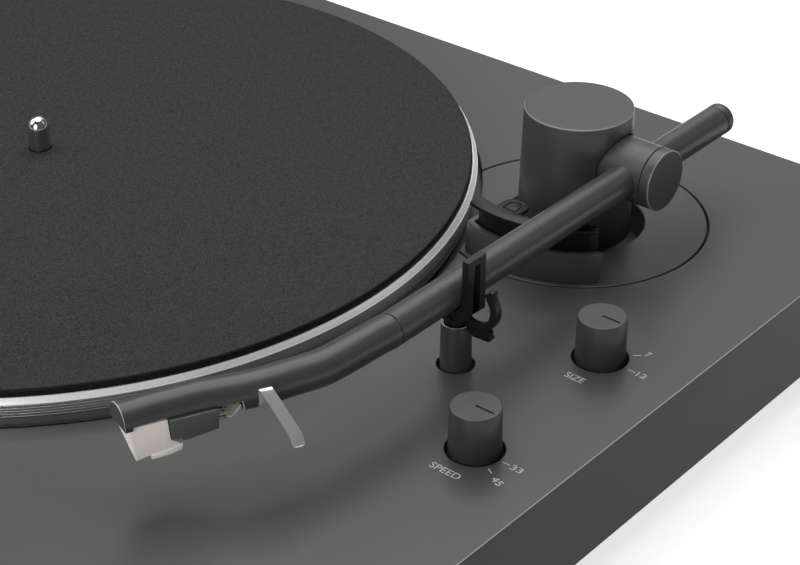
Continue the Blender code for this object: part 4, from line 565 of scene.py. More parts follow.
def makeArmBase():
    base = turnOnLathe("armBasePlate", armLook["base"], (*armXY, 0), steps=180, hollow=True)
    combine(base, [turnOnLathe("cutter", armLook["wellSide"], (*spindleXY, 0), steps=360)])
    combine(base, [turnOnLathe("cutter", armLook["wellWall"], (*spindleXY, 0), steps=240)])
    smooth(base, 30)
    fitPiece(base, "root", ["arm_base"], finishes["satinCase"])


def makeTurret():
    top = armLook["turretTop"]
    profile = list(armLook["turretFoot"]) + [(radius, top - drop) for radius, drop in armLook["turretRim"]]
    turret = turnOnLathe("turretHousing", profile, (*armXY, 0), steps=160)
    wide, narrow, low = armLook["turretInside"]
    combine(turret, [turnOnLathe("cutter", [(wide, low), (narrow, top - 2)], (*armXY, 0), steps=64)])
    hole = armLook["barrelHole"]
    opening = turnOnLathe("cutter", [(hole, armXY[0]), (hole, 160)], (0, armXY[1], armZ), "X", steps=96)
    combine(turret, [opening])
    smooth(turret, 30)
    fitPiece(turret, "turret_assembly", ["turret"], finishes["armMetal"])
    # the rim of the turret top is painted lighter, as a highlight
    highlightRim(turret, finishes["darkEdgeHighlight"], top - 0.5)


def makeBarrel():
    centre = (0, armXY[1], armZ)
    radius, seam, face = armLook["barrel"], armLook["seam"], armLook["barrelFace"]
    profile = [(radius, armLook["barrelRear"]), (radius, seam - 0.45), (radius - 0.12, seam - 0.25)]
    body = turnOnLathe("barrelBody", profile, centre, "X", steps=128)
    smooth(body, 30)
    fitPiece(body, "tonearm", ["barrel"], finishes["armMetal"])
    profile = [(radius - 0.15, seam), (radius, seam + 0.15), (radius, face - 0.36),
               (radius - 0.1, face - 0.12), (radius - 0.3, face)]
    cap = turnOnLathe("barrelCap", profile, centre, "X", steps=128)
    smooth(cap, 30)
    fitPiece(cap, "tonearm", ["barrel_cap"], finishes["armMetal"])
    # the rim of the cap's face is painted lighter, as a highlight
    highlightRim(cap, finishes["darkEdgeHighlight"], face - 0.4, "X")


makeArmBase()
makeTurret()
makeBarrel()
print("turret made")


# Arm tube and head

tubeLook = {"radius": 5.2, "bore": 4.2, "seamY": -18.0, "rearSeam": 147.1, "rear": 151.2, "capEdge": 1.0}
headLook = {
    "reach": (25.6, 77.6),  # how far the head bends aside and runs on from the seam
    "path": ((0.0, 0.0), (0.0, 0.02), (0.016, 0.058), (0.035, 0.173), (0.063, 0.298), (0.105, 0.359),
             (0.188, 0.430), (0.316, 0.542), (0.477, 0.642), (0.645, 0.730), (0.750, 0.802), (0.852, 0.874),
             (0.926, 0.937), (1.0, 1.0)),
    # start, end, rise and slope of the two slabs that open the tube from below
    "opening": (2.5, 32.0, 0.14, 2.0), "mouth": (-6, 2.52, -1.1, 0), "boreEnd": 2.5,
    "endCut": ((-9, -9), (-1.3, -9), (0.6, 9), (-9, 9)),  # a little askew, the far side stands further out
}
aside, along = headLook["reach"]
headPath = curveThrough([(tubeX - aside * x, tubeLook["seamY"] - 0.3 - along * y, armZ)
                         for x, y in headLook["path"]], 6)


def alongHead(point):  # how far behind the end of the head a point lies
    return (point - headEnd).dot(headBack)


def makeTube():
    centre = (tubeX, 0, armZ)
    seam, rearSeam, radius, bore = (tubeLook[name] for name in ("seamY", "rearSeam", "radius", "bore"))
    profile = [(radius - 0.12, seam), (radius, seam + 0.12), (radius, rearSeam - 0.1),
               (radius - 0.1, rearSeam)]
    tube = turnOnLathe("armTube", profile, centre, "Y", steps=96)
    combine(tube, [turnOnLathe("cutter", [(bore, seam - 1), (bore, rearSeam + 1)], centre, "Y", steps=64)])
    smooth(tube, 30)
    fitPiece(tube, "tonearm", ["arm_tube"], finishes["armMetal"])
    rear, edge = tubeLook["rear"], tubeLook["capEdge"]
    profile = [(radius - 0.12, rearSeam + 0.3), (radius, rearSeam + 0.45), (radius, rear - edge)]
    for degrees in range(15, 91, 15):
        angle = math.radians(degrees)
        profile.append((radius - edge + math.cos(angle), rear - edge + math.sin(angle)))
    cap = turnOnLathe("tubeCap", profile, centre, "Y", steps=96)
    smooth(cap, 40)
    fitPiece(cap, "tonearm", ["arm_end_cap"], finishes["armMetal"])


def slabUnderHead(start, end, rise, slope):
    # a wedge-ended block below the head, which cuts the tube to its half round
    sides = [(start, rise), (end, rise), (end + slope, -9), (start, -9)]
    return loftRings("cutter", [[onHead(back, side, level) for back, level in sides] for side in (-12, 12)])


def makeHead():
    head = pipeAlong("headTube", headPath + [onHead(-3, 0, 0)], tubeLook["radius"], sides=20)
    inside = [headPath[0] + Vector((0, 2, 0))] + [point for point in headPath if alongHead(point) > 5]
    inside.append(onHead(headLook["boreEnd"], 0, 0))
    combine(head, [pipeAlong("cutter", inside, tubeLook["bore"], sides=12)])
    combine(head, [slabUnderHead(*headLook["opening"])])
    combine(head, [slabUnderHead(*headLook["mouth"])])
    ends = [[onHead(back, side, rise) for back, side in headLook["endCut"]] for rise in (-9, 9)]
    combine(head, [loftRings("cutter", ends)])
    # the bevel round the open end is painted lighter, as a highlight
    softenEdges(head, 0.2, 1, 50, paintHighlight=True, clamp=False)
    smooth(head, 35)
    fitPiece(head, "tonearm", ["headshell"], finishes["armMetal"], finishes["caseEdgeHighlight"])


makeTube()
makeHead()
print("arm tube made")


# Knobs

knobLook = {
    "foot": ((3, 34.3), (3, 42.9), (7.55, 42.9), (7.6, 43.0)), "radius": 7.3, "top": 59.46, "edge": 0.3,
    "groove": (6.2, 0.85, 0.5),  # length from the middle, width and depth
}


def makeKnob(name, body, node, place):
    radius, top, edge = knobLook["radius"], knobLook["top"], knobLook["edge"]
    profile = list(knobLook["foot"])
    profile += [(radius, top - edge), (radius - edge * 0.4, top - edge * 0.3), (radius - edge, top)]
    knob = turnOnLathe(name, profile, (*place, 0), steps=128)
    reach, width, depth = knobLook["groove"]
    groove = addBlock("cutter", (place[0], place[1] - width / 2, top - depth),
                      (place[0] + reach, place[1] + width / 2, top + 1))
    softenEdges(groove, 0.1, 2, 40)
    combine(knob, [groove])
    smooth(knob, 30)
    fitPiece(knob, body, [node], finishes["satinKnob"])


makeKnob("speedKnob", "speed_control", "speed_knob", plinth["knobs"][0])
makeKnob("sizeKnob", "size_control", "size_knob", plinth["knobs"][1])
print("knobs made")


# Arm lifter

lifterLook = {
    "housing": (33.5, 41.4, 40.45), "housingEnds": (14.7, 30.1), "housingLevels": (45.6, 55.3),
    "slot": (36.55, 38.85), "slotEnds": (13.0, 28.8), "rimEdge": 0.32,
    "flange": (36.3, 41.4), "flangeEnds": (12.3, 29.1), "flangeLevels": (62.7, 63.9),
    "wall": (36.9, 38.4), "wallEnds": (10.9, 27.7), "wallFoot": 48.3,
    "tab": (28.3, 4.35), "groove": (1.8, 0.45, 0.3), "slant": 0.8,
}


def bandOutline(radii, ends, steps=40):
    # the left end is square to the plinth, the right end slants in towards the turret
    def bearing(radius, x):
        return -math.degrees(math.acos(x / radius))

    inner, outer = radii
    left, right = ends
    last = bearing(outer, right)
    slant = lifterLook["slant"] * (outer - inner)
    outline = arcPoints(armXY, outer, bearing(outer, -left), last, steps)
    return outline + arcPoints(armXY, inner, last - slant, bearing(inner, -left), steps)


def tabOutline(inner, half, outer):
    x, y = armXY
    return arcPoints((x, y - inner - half), half, 0, 180, 24) + [(x - half, y - outer), (x + half, y - outer)]


def makeLifter():
    inner, foot, head = lifterLook["housing"]
    low, high = lifterLook["housingLevels"]
    rings = [[(x, y, level) for x, y in bandOutline((inner, outer), lifterLook["housingEnds"])]
             for level, outer in ((low, foot), (high, head))]
    housing = loftRings("lifterHousing", rings)
    slot = pressOut("cutter", bandOutline(lifterLook["slot"], lifterLook["slotEnds"]), low + 1.5, high + 3)
    combine(housing, [slot])
    # the bevels of the housing are painted lighter, as highlights
    softenEdges(housing, lifterLook["rimEdge"], 3, 50, paintHighlight=True)
    smooth(housing, 35)
    fitPiece(housing, "root", ["lifter_housing"], finishes["satinCase"], finishes["darkEdgeHighlight"])

    low, high = lifterLook["flangeLevels"]
    lifter = pressOut("lifterArc", bandOutline(lifterLook["flange"], lifterLook["flangeEnds"]), low, high)
    inner, half = lifterLook["tab"]
    wall = bandOutline(lifterLook["wall"], lifterLook["wallEnds"])
    tab = tabOutline(inner, half, lifterLook["flange"][0] + 1.1)
    combine(lifter, [pressOut("wall", wall, lifterLook["wallFoot"], low + 0.6),
                     pressOut("tab", tab, low + 0.01, high - 0.01)], "UNION")
    inset, width, depth = lifterLook["groove"]
    outer = lifterLook["flange"][0] - 0.4
    groove = pressOut("cutter", tabOutline(inner + inset, half - inset, outer), high - depth, high + 1)
    island = pressOut("island", tabOutline(inner + inset + width, half - inset - width, outer - width),
                      high - depth - 1, high + 2)
    combine(groove, [island])
    combine(lifter, [groove])
    softenEdges(lifter, 0.14, 2, 50)
    smooth(lifter, 35)
    fitPiece(lifter, "lifter", ["lifter_arc"], finishes["blackPlastic"])


makeLifter()
print("lifter made")


# Arm rest: post, clip and latch

restLook = {
    "postFoot": ((3.7, 40.0), (9, 40.0), (9, 42.0), (4.72, 42.0), (4.7, topZ)), "postTop": 59.9,
    "postRim": ((4.5, 0.35), (4.42, 0.12), (4.2, 0), (3.95, 0), (3.7, 0.2)),  # radius, below the top
    "stem": ((3.1, 46.95), (3.3, 47.2)), "plate": (162.16, 164.4), "plateTop": 83.36, "width": (6.8, 14.8),
    "saddle": (154.0, 61.7), "saddleCorner": 1.8, "trough": 5.56,
    "slot": (9.3, 12.3), "slotTop": 81.16, "slotBack": 2.2, "footSlot": (160.5, 66),
    "hinge": (158.7, 63.4), "hingeHole": 1.2, "pinHole": 0.96,
    "pin": ((0.7, 7.1), (0.9, 7.3), (0.9, 14.3), (0.7, 14.5)),
    "ring": (164.4, 68.0), "ringRadii": (5.7, 8.0), "ringArc": (213, 404), "latchWidth": (9.6, 12.0),
    "thumb": ((162.3, 62.3), (162.3, 59.2), (164.3, 57.9), (169.9, 58.3), (170.4, 59.3), (169.7, 60.1),
              (169.9, 61.4), (166.4, 61.6)),
    "knuckle": 1.9, "ridge": 0.85, "ridges": ((169.1, 73.2), (170.2, 74.0)),
}


def makeRestPost():
    high = restLook["postTop"]
    profile = list(restLook["postFoot"]) + [(radius, high - drop) for radius, drop in restLook["postRim"]]
    post = turnOnLathe("restPost", profile, (*plinth["post"], 0), steps=96, hollow=True)
    smooth(post, 40)
    fitPiece(post, "root", ["rest_post"], finishes["armMetal"])
    # the rim of the post top is painted lighter, as a highlight
    highlightRim(post, finishes["caseEdgeHighlight"], high - 0.14)


def hingeCutter(radius):
    x, z = restLook["hinge"]
    return turnOnLathe("cutter", [(radius, 5), (radius, 16)], (x, 0, z), "Y", steps=32)


def makeClip():
    left, foot = restLook["saddle"]
    inside, outside = restLook["plate"]
    near, far = restLook["width"]
    high, corner = restLook["plateTop"], restLook["saddleCorner"]
    outline = [(outside, high), (inside, high), (inside, armZ + 0.5)]
    outline += arcPoints((tubeX, armZ), restLook["trough"], -4, -118, 24)
    outline += arcPoints((left + corner, foot + corner), corner, 190, 270, 6)
    outline += [(outside - 4.1, foot), (outside - 0.5, foot + 3.3), (outside, foot + 3.8)]
    bracket = pressOut("clipBracket", outline, near, far, "Y")
    profile = list(restLook["stem"]) + [(restLook["stem"][-1][0], foot + 0.6)]
    combine(bracket, [turnOnLathe("stem", profile, (*plinth["post"], 0), steps=64)], "UNION")
    slotNear, slotFar = restLook["slot"]
    hingeX, hingeZ = restLook["hinge"]
    footLeft, footTop = restLook["footSlot"]
    combine(bracket, [addBlock("cutter", (footLeft, slotNear, foot - 2), (outside + 1, slotFar, footTop))])
    combine(bracket, [addBlock("cutter", (hingeX - restLook["slotBack"], slotNear, foot - 0.4),
                               (outside + 1, slotFar, restLook["slotTop"]))])
    # the bevels of the bracket are painted lighter, as highlights
    softenEdges(bracket, 0.14, 1, 50, paintHighlight=True)
    combine(bracket, [hingeCutter(restLook["pinHole"])])
    smooth(bracket, 35)
    fitPiece(bracket, "root", ["clip_bracket"], finishes["blackPlastic"],
             finishes["blackEdgeHighlight"])
    pin = turnOnLathe("latchPin", restLook["pin"], (hingeX, 0, hingeZ), "Y", steps=32)
    smooth(pin, 40)
    fitPiece(pin, "root", ["latch_pin"], finishes["blackenedSteel"])


def makeLatch():
    near, far = restLook["latchWidth"]
    inner, outer = restLook["ringRadii"]
    start, end = restLook["ringArc"]
    knuckle, ridge = restLook["knuckle"], restLook["ridge"]
    ring, hinge = restLook["ring"], restLook["hinge"]
    hoop = arcPoints(ring, outer, start, end, 60) + arcPoints(ring, inner, end, start, 60)
    latch = pressOut("clipLatch", hoop, near, far, "Y")
    knuckleProfile = [(knuckle, near + 0.08), (knuckle, far - 0.08)]
    parts = [
        pressOut("thumb", restLook["thumb"], near + 0.05, far - 0.05, "Y"),
        turnOnLathe("knuckle", knuckleProfile, (hinge[0], 0, hinge[1]), "Y", steps=48),
    ]
    for x, z in restLook["ridges"]:
        profile = [(ridge, near - 0.1), (ridge, far + 0.1)]
        parts.append(turnOnLathe("ridge", profile, (x, 0, z), "Y", steps=24))
    for part in parts:
        combine(latch, [part], "UNION")
    softenEdges(latch, 0.12, 2, 50)
    combine(latch, [hingeCutter(restLook["hingeHole"])])
    smooth(latch, 35)
    fitPiece(latch, "latch", ["clip_latch"], finishes["blackPlastic"])


makeRestPost()
makeClip()
makeLatch()
print("arm rest made")


# Cartridge, stylus and finger lift

cartridgeLook = {
    "body": ((12.2, -0.66), (25.7, -0.66), (25.7, -7.35), (15.9, -8.55), (15.2, -7.6), (12.7, -6.6)),
    "half": 4.8, "footHalf": 3.9, "edge": 0.3,
    "pins": (-1.5, -0.5, 0.5, 1.5), "pinSpacing": 1.6, "pinLevel": -4.26, "pinStart": 24.5, "pinEnd": 28.1,
    "pinRadius": 0.45, "outerDrop": 0.8, "plug": 3.8, "plugEnds": (12.5, 31),
    "underPlug": ((5, -1.2), (45, -1.2), (45, -9), (5, -9)),
    "stylus": (4.6, -12.9), "lever": 0.3, "leverRoot": (11.5, -6.7),
    "wire": 0.34, "wires": ("wireGreen", "wireGrey", "wireGreen", "wireGrey"),
    "bundle": 1.2, "bundleRise": -2.5, "bundleFrom": 37.5, "bundleEnd": 124.0,
}
guardLook = {
    "panel": ((1.3, -0.66), (11.9, -0.66), (12.5, -7.4), (15.4, -9.2), (15.2, -10.9), (12.0, -11.6),
              (7.0, -11.7), (6.9, -10.7), (3.0, -11.6)),
    "skirt": ((7.0, -10.7), (11.8, -10.2), (15.6, -9.2), (15.4, -11.0), (12.0, -11.8), (7.05, -12.0)),
    "skirtHalf": 3.8, "topHalf": 4.0, "footHalf": 3.5, "edge": 0.22,
    "noseTop": ((-0.2, -2.5), (1.45, 3.85), (3.4, 3.0), (3.4, -2.5)), "noseTopRise": -0.8,
    "noseFoot": ((2.85, 2.95), (3.1, 3.4), (3.5, 3.2), (3.4, 2.8)), "noseFootRise": -11.5,
    "slot": ((4.2, -12.5), (11.9, -12.5), (11.9, -5.7), (4.2, -5.7)), "slotHalf": 1.6,
}


def acrossHead(name, outline, footHalf, topHalf=None):
    # an outline on the side of the head is carried across it, with a width of its own at foot and top
    lowest = min(rise for back, rise in outline)
    highest = max(rise for back, rise in outline)
    topHalf = footHalf if topHalf is None else topHalf

    def reach(rise):
        return footHalf + (topHalf - footHalf) * (rise - lowest) / (highest - lowest)

    rings = [[onHead(back, sign * reach(rise), rise) for back, rise in outline] for sign in (-1, 1)]
    return loftRings(name, rings)


def makeGuard():
    guard = acrossHead("stylusGuard", guardLook["panel"], guardLook["footHalf"], guardLook["topHalf"])
    softenEdges(guard, guardLook["edge"], 3, 28)
    top = [onHead(back, side, guardLook["noseTopRise"]) for back, side in guardLook["noseTop"]]
    foot = [onHead(back, side, guardLook["noseFootRise"]) for back, side in guardLook["noseFoot"]]
    nose = loftRings("nose", [top, foot])
    skirt = acrossHead("skirt", guardLook["skirt"], guardLook["skirtHalf"])
    softenEdges(skirt, 0.12, 2, 28)
    combine(guard, [nose, skirt], "UNION")
    combine(guard, [acrossHead("cutter", guardLook["slot"], guardLook["slotHalf"])])
    smooth(guard, 40)
    fitPiece(guard, "tonearm", ["stylus_holder"], finishes["guardPlastic"])


def makeStylus():
    back, rise = cartridgeLook["stylus"]
    rootBack, rootRise = cartridgeLook["leverRoot"]
    tip, root = onHead(back, 0, rise + 1.2), onHead(rootBack, 0, rootRise)
    middle = (root + tip) / 2 + Vector((0, 0, -0.15))
    lever = pipeAlong("stylusLever", [root, middle, tip], cartridgeLook["lever"], sides=6)
    profile = [(0.06, tip.z - 1.2), (0.22, tip.z - 0.5), (0.22, tip.z), (0.1, tip.z + 0.15)]
    jewel = turnOnLathe("jewel", profile, (tip.x, tip.y, 0), steps=16)
    lever = joinPieces("stylusLever", [lever, jewel])
    smooth(lever, 40)
    fitPiece(lever, "tonearm", ["stylus"], finishes["steel"])


def pinPlaces():  # each pin's place in the row, its side and its level; the outer two sit lower
    for place in cartridgeLook["pins"]:
        drop = cartridgeLook["outerDrop"] * (abs(place) > 1)
        yield place, place * cartridgeLook["pinSpacing"], cartridgeLook["pinLevel"] - drop


def makeCartridge():
    footHalf, half = cartridgeLook["footHalf"], cartridgeLook["half"]
    body = acrossHead("cartridgeBody", cartridgeLook["body"], footHalf, half)
    softenEdges(body, cartridgeLook["edge"], 3, 30)
    start, end = cartridgeLook["plugEnds"]
    plugPath = [point for point in headPath if start < alongHead(point) < end]
    plug = pipeAlong("plug", plugPath, cartridgeLook["plug"], sides=10)
    rings = [[onHead(back, side, rise) for back, rise in cartridgeLook["underPlug"]] for side in (-9, 9)]
    combine(plug, [loftRings("cutter", rings)])
    combine(body, [plug], "UNION")
    smooth(body, 35)
    body.data.materials.clear()
    body.data.materials.append(finishes["cartridgePlastic"])
    pins = []
    for place, side, level in pinPlaces():
        ends = [onHead(back, side, level) for back in (cartridgeLook["pinStart"], cartridgeLook["pinEnd"])]
        pin = pipeAlong("pin", ends, cartridgeLook["pinRadius"], sides=6)
        pin.data.materials.append(finishes["steel"])
        pins.append(pin)
    body = joinPieces("cartridgeBody", [body] + pins)
    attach(body, "tonearm")
    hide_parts("cartridge_body")


def makeLeads():
    leads = []
    end, rise = cartridgeLook["pinEnd"] + 0.3, cartridgeLook["bundleRise"]
    for (place, side, level), look in zip(pinPlaces(), cartridgeLook["wires"]):
        route = [onHead(end, side, level), onHead(end + 1.3, side, level - 0.35),
                 onHead(end + 2.9, side * 0.8, level + 0.5), onHead(33.8, place * 0.8, rise - 0.2),
                 onHead(36.0, place * 0.5, rise), onHead(38.0, place * 0.4, rise)]
        lead = pipeAlong("lead", curveThrough(route, 6), cartridgeLook["wire"], sides=5)
        lead.data.materials.append(finishes[look])
        leads.append(lead)
    lift = Vector((0, 0, rise))
    route = [Vector((tubeX, cartridgeLook["bundleEnd"], armZ + rise))]
    route += [point + lift for point in headPath if alongHead(point) > cartridgeLook["bundleFrom"]]
    sleeve = pipeAlong("sleeve", route, cartridgeLook["bundle"], sides=6)
    sleeve.data.materials.append(finishes["rubber"])
    leads = joinPieces("leadWires", leads + [sleeve])
    smooth(leads, 50)
    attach(leads, "tonearm")
    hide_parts("lead_wires")


fingerLook = {
    "thickness": 0.7, "width": 3.5, "back": 36.3, "tipRound": 1.0,
    # side and rise of the middle line, and how far the strip has slanted back there
    "spine": ((5.85, -1.9, 0), (5.85, 1.9, 0), (6.0, 2.75, 0), (6.7, 3.1, 0.05), (8.9, 0.9, 1.15),
              (11.2, -1.6, 2.3), (13.2, -3.9, 3.3), (14.9, -5.8, 4.15), (15.9, -7.0, 4.5), (16.8, -8.2, 4.6),
              (17.6, -9.3, 4.65)),
}


def makeFingerLift():
    spine = curveThrough(fingerLook["spine"], 5)
    half, width, tipRound = fingerLook["thickness"] / 2, fingerLook["width"], fingerLook["tipRound"]
    rings = []
    for index, (side, rise, skew) in enumerate(spine):
        ahead, behind = spine[min(index + 1, len(spine) - 1)], spine[max(index - 1, 0)]
        run = Vector((ahead[0] - behind[0], ahead[1] - behind[1])).normalized()
        outward, upward = -run.y * half, run.x * half
        toTip = (Vector(spine[-1][:2]) - Vector((side, rise))).length
        inset = 0
        if toTip < tipRound:
            inset = tipRound - math.sqrt(max(0, tipRound ** 2 - (tipRound - toTip) ** 2))
        near, far = fingerLook["back"] + skew + inset, fingerLook["back"] + skew + width - inset
        rings.append([onHead(back, side + sign * outward, rise + sign * upward)
                      for back, sign in ((near, 1), (far, 1), (far, -1), (near, -1))])
    strip = loftRings("fingerLift", rings)
    softenEdges(strip, 0.12, 2, 45)
    smooth(strip, 40)
    fitPiece(strip, "tonearm", ["finger_lift"], finishes["polishedStrip"])


makeGuard()
makeStylus()
makeCartridge()
makeLeads()
makeFingerLift()
print("cartridge made")


# Front buttons

buttonLook = {
    "names": ("start", "stop", "lift"), "half": 11, "levels": (24, 32), "front": -183, "back": -171,
    "flange": (-179.7, -178.2), "flangeSpread": 1.5, "edge": 0.5, "dish": (0.9, 0.25, 0.25),
}


def makeButton(x, name):
    half, (low, high) = buttonLook["half"], buttonLook["levels"]
    button = addBlock(name, (x - half, buttonLook["front"], low), (x + half, buttonLook["back"], high))
    pick(button)
    for face in button.data.polygons:
        face.select = face.normal.y < -0.9
    bpy.ops.object.mode_set(mode="EDIT")
    bpy.ops.mesh.select_mode(type="FACE")
    border, slope, depth = buttonLook["dish"]
    bpy.ops.mesh.inset(thickness=border * mm, depth=0)
    bpy.ops.mesh.inset(thickness=slope * mm, depth=-depth * mm)
    bpy.ops.object.mode_set(mode="OBJECT")
    softenEdges(button, buttonLook["edge"], 3, 60)
    near, far = buttonLook["flange"]
    spread = buttonLook["flangeSpread"]
    combine(button, [addBlock("flange", (x - half - spread, near, low - spread),
                              (x + half + spread, far, high + spread))], "UNION")
    smooth(button, 30)
    return button


def makeButtons():
    names, places = buttonLook["names"], plinth["keys"]
    buttons = [makeButton(places[0], names[0] + "Button")]
    for name, x in zip(names[1:], places[1:]):
        buttons.append(copyPiece(buttons[0], name + "Button", (x - places[0], 0, 0)))
    for name, button in zip(names, buttons):
        fitPiece(button, name + "_key", [name + "_button"], finishes["satinKnob"])


# Feet, screws and cover underneath

underLook = {
    "corners": ("front_left", "front_right", "rear_left", "rear_right"),
    "feet": ((-179, -149), (179, -149), (-179, 149), (179, 149)),
    "foot": ((0.5, 1.8), (7.6, 1.8), (8.0, 1.5), (8.0, 0.4), (8.5, 0), (11.3, 0), (11.6, 0.5), (12.4, 0.5),
             (12.7, 0), (15.4, 0), (16, 0.6), (17.1, 6.4), (16.6, 6.7), (16.6, 7.2), (17.25, 7.5),
             (17.9, 11.4), (17.6, 11.7), (0.5, 11.7)),
    "screws": ((-205, -173), (205, -173), (-205, 173), (205, 173)),
    "screw": ((2.3, 12.0), (2.85, 12.2), (3.0, 12.55), (3.0, 13.0), (1.4, 13.0), (1.4, 20.4), (0.6, 21.0)),
    "cross": (1.9, 0.28), "screwHoles": (3.3, 1.7), "sunkTop": 13.3,
    "cover": (211.7, 179.7, 12, 14.5), "standoff": (3, 3.5), "board": (130, -110, 39, 24),
    "vents": 9, "ventStart": 106, "ventStep": 6, "ventHalf": 1.1, "ventEnds": (-128, -98),
    "grooves": (26, 60), "grooveWidth": 1.6, "grooveDepth": 0.5,
}


def copyToCorners(first, places, name, finish):  # one for each corner, the first is already in place
    pieces = [first]
    for x, y in places[1:]:
        pieces.append(copyPiece(first, name, (x - places[0][0], y - places[0][1], 0)))
    for corner, piece in zip(underLook["corners"], pieces):
        node = name + "_" + corner
        piece.name = piece.data.name = node + "_detail"
        fitPiece(piece, "root", [node], finish)


def makeUnderside():
    places = underLook["feet"]
    foot = turnOnLathe("foot", underLook["foot"], (*places[0], 0), steps=96)
    smooth(foot, 35)
    copyToCorners(foot, places, "foot", finishes["rubber"])

    places = underLook["screws"]
    x, y = places[0]
    screw = turnOnLathe("screw", underLook["screw"], (x, y, 0), steps=48)
    reach, thin = underLook["cross"]
    for wide, deep in ((reach, thin), (thin, reach)):
        combine(screw, [addBlock("cutter", (x - wide, y - deep, 11), (x + wide, y + deep, 12.6))])
    smooth(screw, 35)
    copyToCorners(screw, places, "base_screw", finishes["steel"])

    halfX, halfY, low, high = underLook["cover"]
    cover = addBlock("baseCover", (-halfX, -halfY, low), (halfX, halfY, high))
    softenEdges(cover, 0.5, 2, 60)
    radius, height = underLook["standoff"]
    boardX, boardY, spreadX, spreadY = underLook["board"]
    for x in (boardX - spreadX, boardX + spreadX):
        for y in (boardY - spreadY, boardY + spreadY):
            profile = [(radius, high - 1), (radius, high + height)]
            combine(cover, [turnOnLathe("standoff", profile, (x, y, 0), steps=32)], "UNION")
    sunk, through = underLook["screwHoles"]
    for x, y in underLook["screws"]:
        for radius, top, steps in ((sunk, underLook["sunkTop"], 40), (through, high + 1, 32)):
            profile = [(radius, low - 1), (radius, top)]
            combine(cover, [turnOnLathe("cutter", profile, (x, y, 0), steps=steps)])
    half, (near, far) = underLook["ventHalf"], underLook["ventEnds"]
    for index in range(underLook["vents"]):  # slots that let the warm air of the board out
        x = underLook["ventStart"] + index * underLook["ventStep"]
        slot = addBlock("cutter", (x - half, near, low - 1), (x + half, far, high + 1))
        softenEdges(slot, 1.0, 4, 60)
        combine(cover, [slot])
    for inset in underLook["grooves"]:  # stiffening grooves pressed into the sheet
        x, y = halfX - inset, halfY - inset
        inX, inY = x - underLook["grooveWidth"], y - underLook["grooveWidth"]
        groove = addBlock("cutter", (-x, -y, low - 1), (x, y, low + underLook["grooveDepth"]))
        combine(groove, [addBlock("inside", (-inX, -inY, low - 2), (inX, inY, low + 2))])
        combine(cover, [groove])
    smooth(cover, 30)
    fitPiece(cover, "root", ["base_cover"], finishes["blackPlastic"])


# Rear panel with its sockets

rearLook = {
    "panel": (-172.5, -57.5, 15.1, 37.1), "back": 171.5, "face": 173.5, "flange": 179.7, "level": 26.1,
    "slider": -113, "sliderHalf": 1.5, "sliderEnds": (169.9, 176.5), "sliderBase": (3, 169.7, 171.15),
    "gripLines": (-0.75, 0, 0.75), "gripHalf": 0.12, "gripFrom": 176.1,
    "sliderSlot": (1.8, 4.8, 1.8), "slotFrame": (-6.5, 7.5), "frameWidth": 0.3,
    "plate": (-164.2, -141.8, 4.2), "jacks": ((-160, "insulatorRed"), (-146, "whitePlastic")),
    # radius, and how far out from the face
    "shell": ((1.6, 1.5), (1.6, 1.0), (4.2, 1.0), (4.2, 2.3), (3.7, 2.5), (3.7, 3.0), (4.0, 3.2), (4.0, 8.0),
              (3.8, 8.25), (3.3, 8.25), (3.3, 1.5)),
    "core": ((1.6, 1.2), (3.3, 1.2), (3.3, 7.2), (3.1, 7.4), (1.75, 7.4), (1.6, 7.2)),
    "inlet": -79, "inletHalf": (10, 6), "inletWall": 1.5, "inletPins": (-3.5, 3.5),
    "inletPin": ((1.1, 1.6), (1.1, 6.2), (0.8, 6.7), (0.3, 6.9)),
}


def turnOnFace(name, profile, x, steps, hollow, finish):  # a turned piece that stands out of the rear face
    points = [(radius, rearLook["face"] + out) for radius, out in profile]
    piece = turnOnLathe(name, points, (x, 0, rearLook["level"]), "Y", steps=steps, hollow=hollow)
    piece.data.materials.append(finish)
    return piece


def makeRearPanel():
    left, right, low, high = rearLook["panel"]
    face, level, x = rearLook["face"], rearLook["level"], rearLook["slider"]
    panel = addBlock("rearPanel", (left, rearLook["back"], low), (right, rearLook["flange"], high))
    left, right, low, high = plinth["rearHole"]
    hollow = addBlock("cutter", (left, face, low), (right, 190, high))
    softenEdges(hollow, 1.0, 3, 60)
    combine(panel, [hollow])
    before, after, half = rearLook["sliderSlot"]
    combine(panel, [addBlock("cutter", (x - before, 170, level - half), (x + after, 175, level + half))])
    width = rearLook["frameWidth"]
    for edge in rearLook["slotFrame"]:  # a shallow line on each side of the slider's slot
        combine(panel, [addBlock("cutter", (x + edge - width, face - width, level - 4),
                                 (x + edge + width, 175, level + 4))])
    smooth(panel, 30)
    fitPiece(panel, "root", ["rear_panel"], finishes["blackPlastic"])

    half, (back, tip) = rearLook["sliderHalf"], rearLook["sliderEnds"]
    slider = addBlock("levelSlider", (x - half, back, level - half), (x + half, tip, level + half))
    width, start = rearLook["gripHalf"], rearLook["gripFrom"]
    for line in rearLook["gripLines"]:
        combine(slider, [addBlock("cutter", (x + line - width, start, level - 2),
                                  (x + line + width, tip + 0.5, level + 2))])
    half, back, front = rearLook["sliderBase"]
    base = addBlock("base", (x - half, back, level - half), (x + half, front, level + half))
    combine(slider, [base], "UNION")
    softenEdges(slider, 0.1, 2, 60)
    smooth(slider, 30)
    fitPiece(slider, "level_slider", ["level_switch"], finishes["satinKnob"])


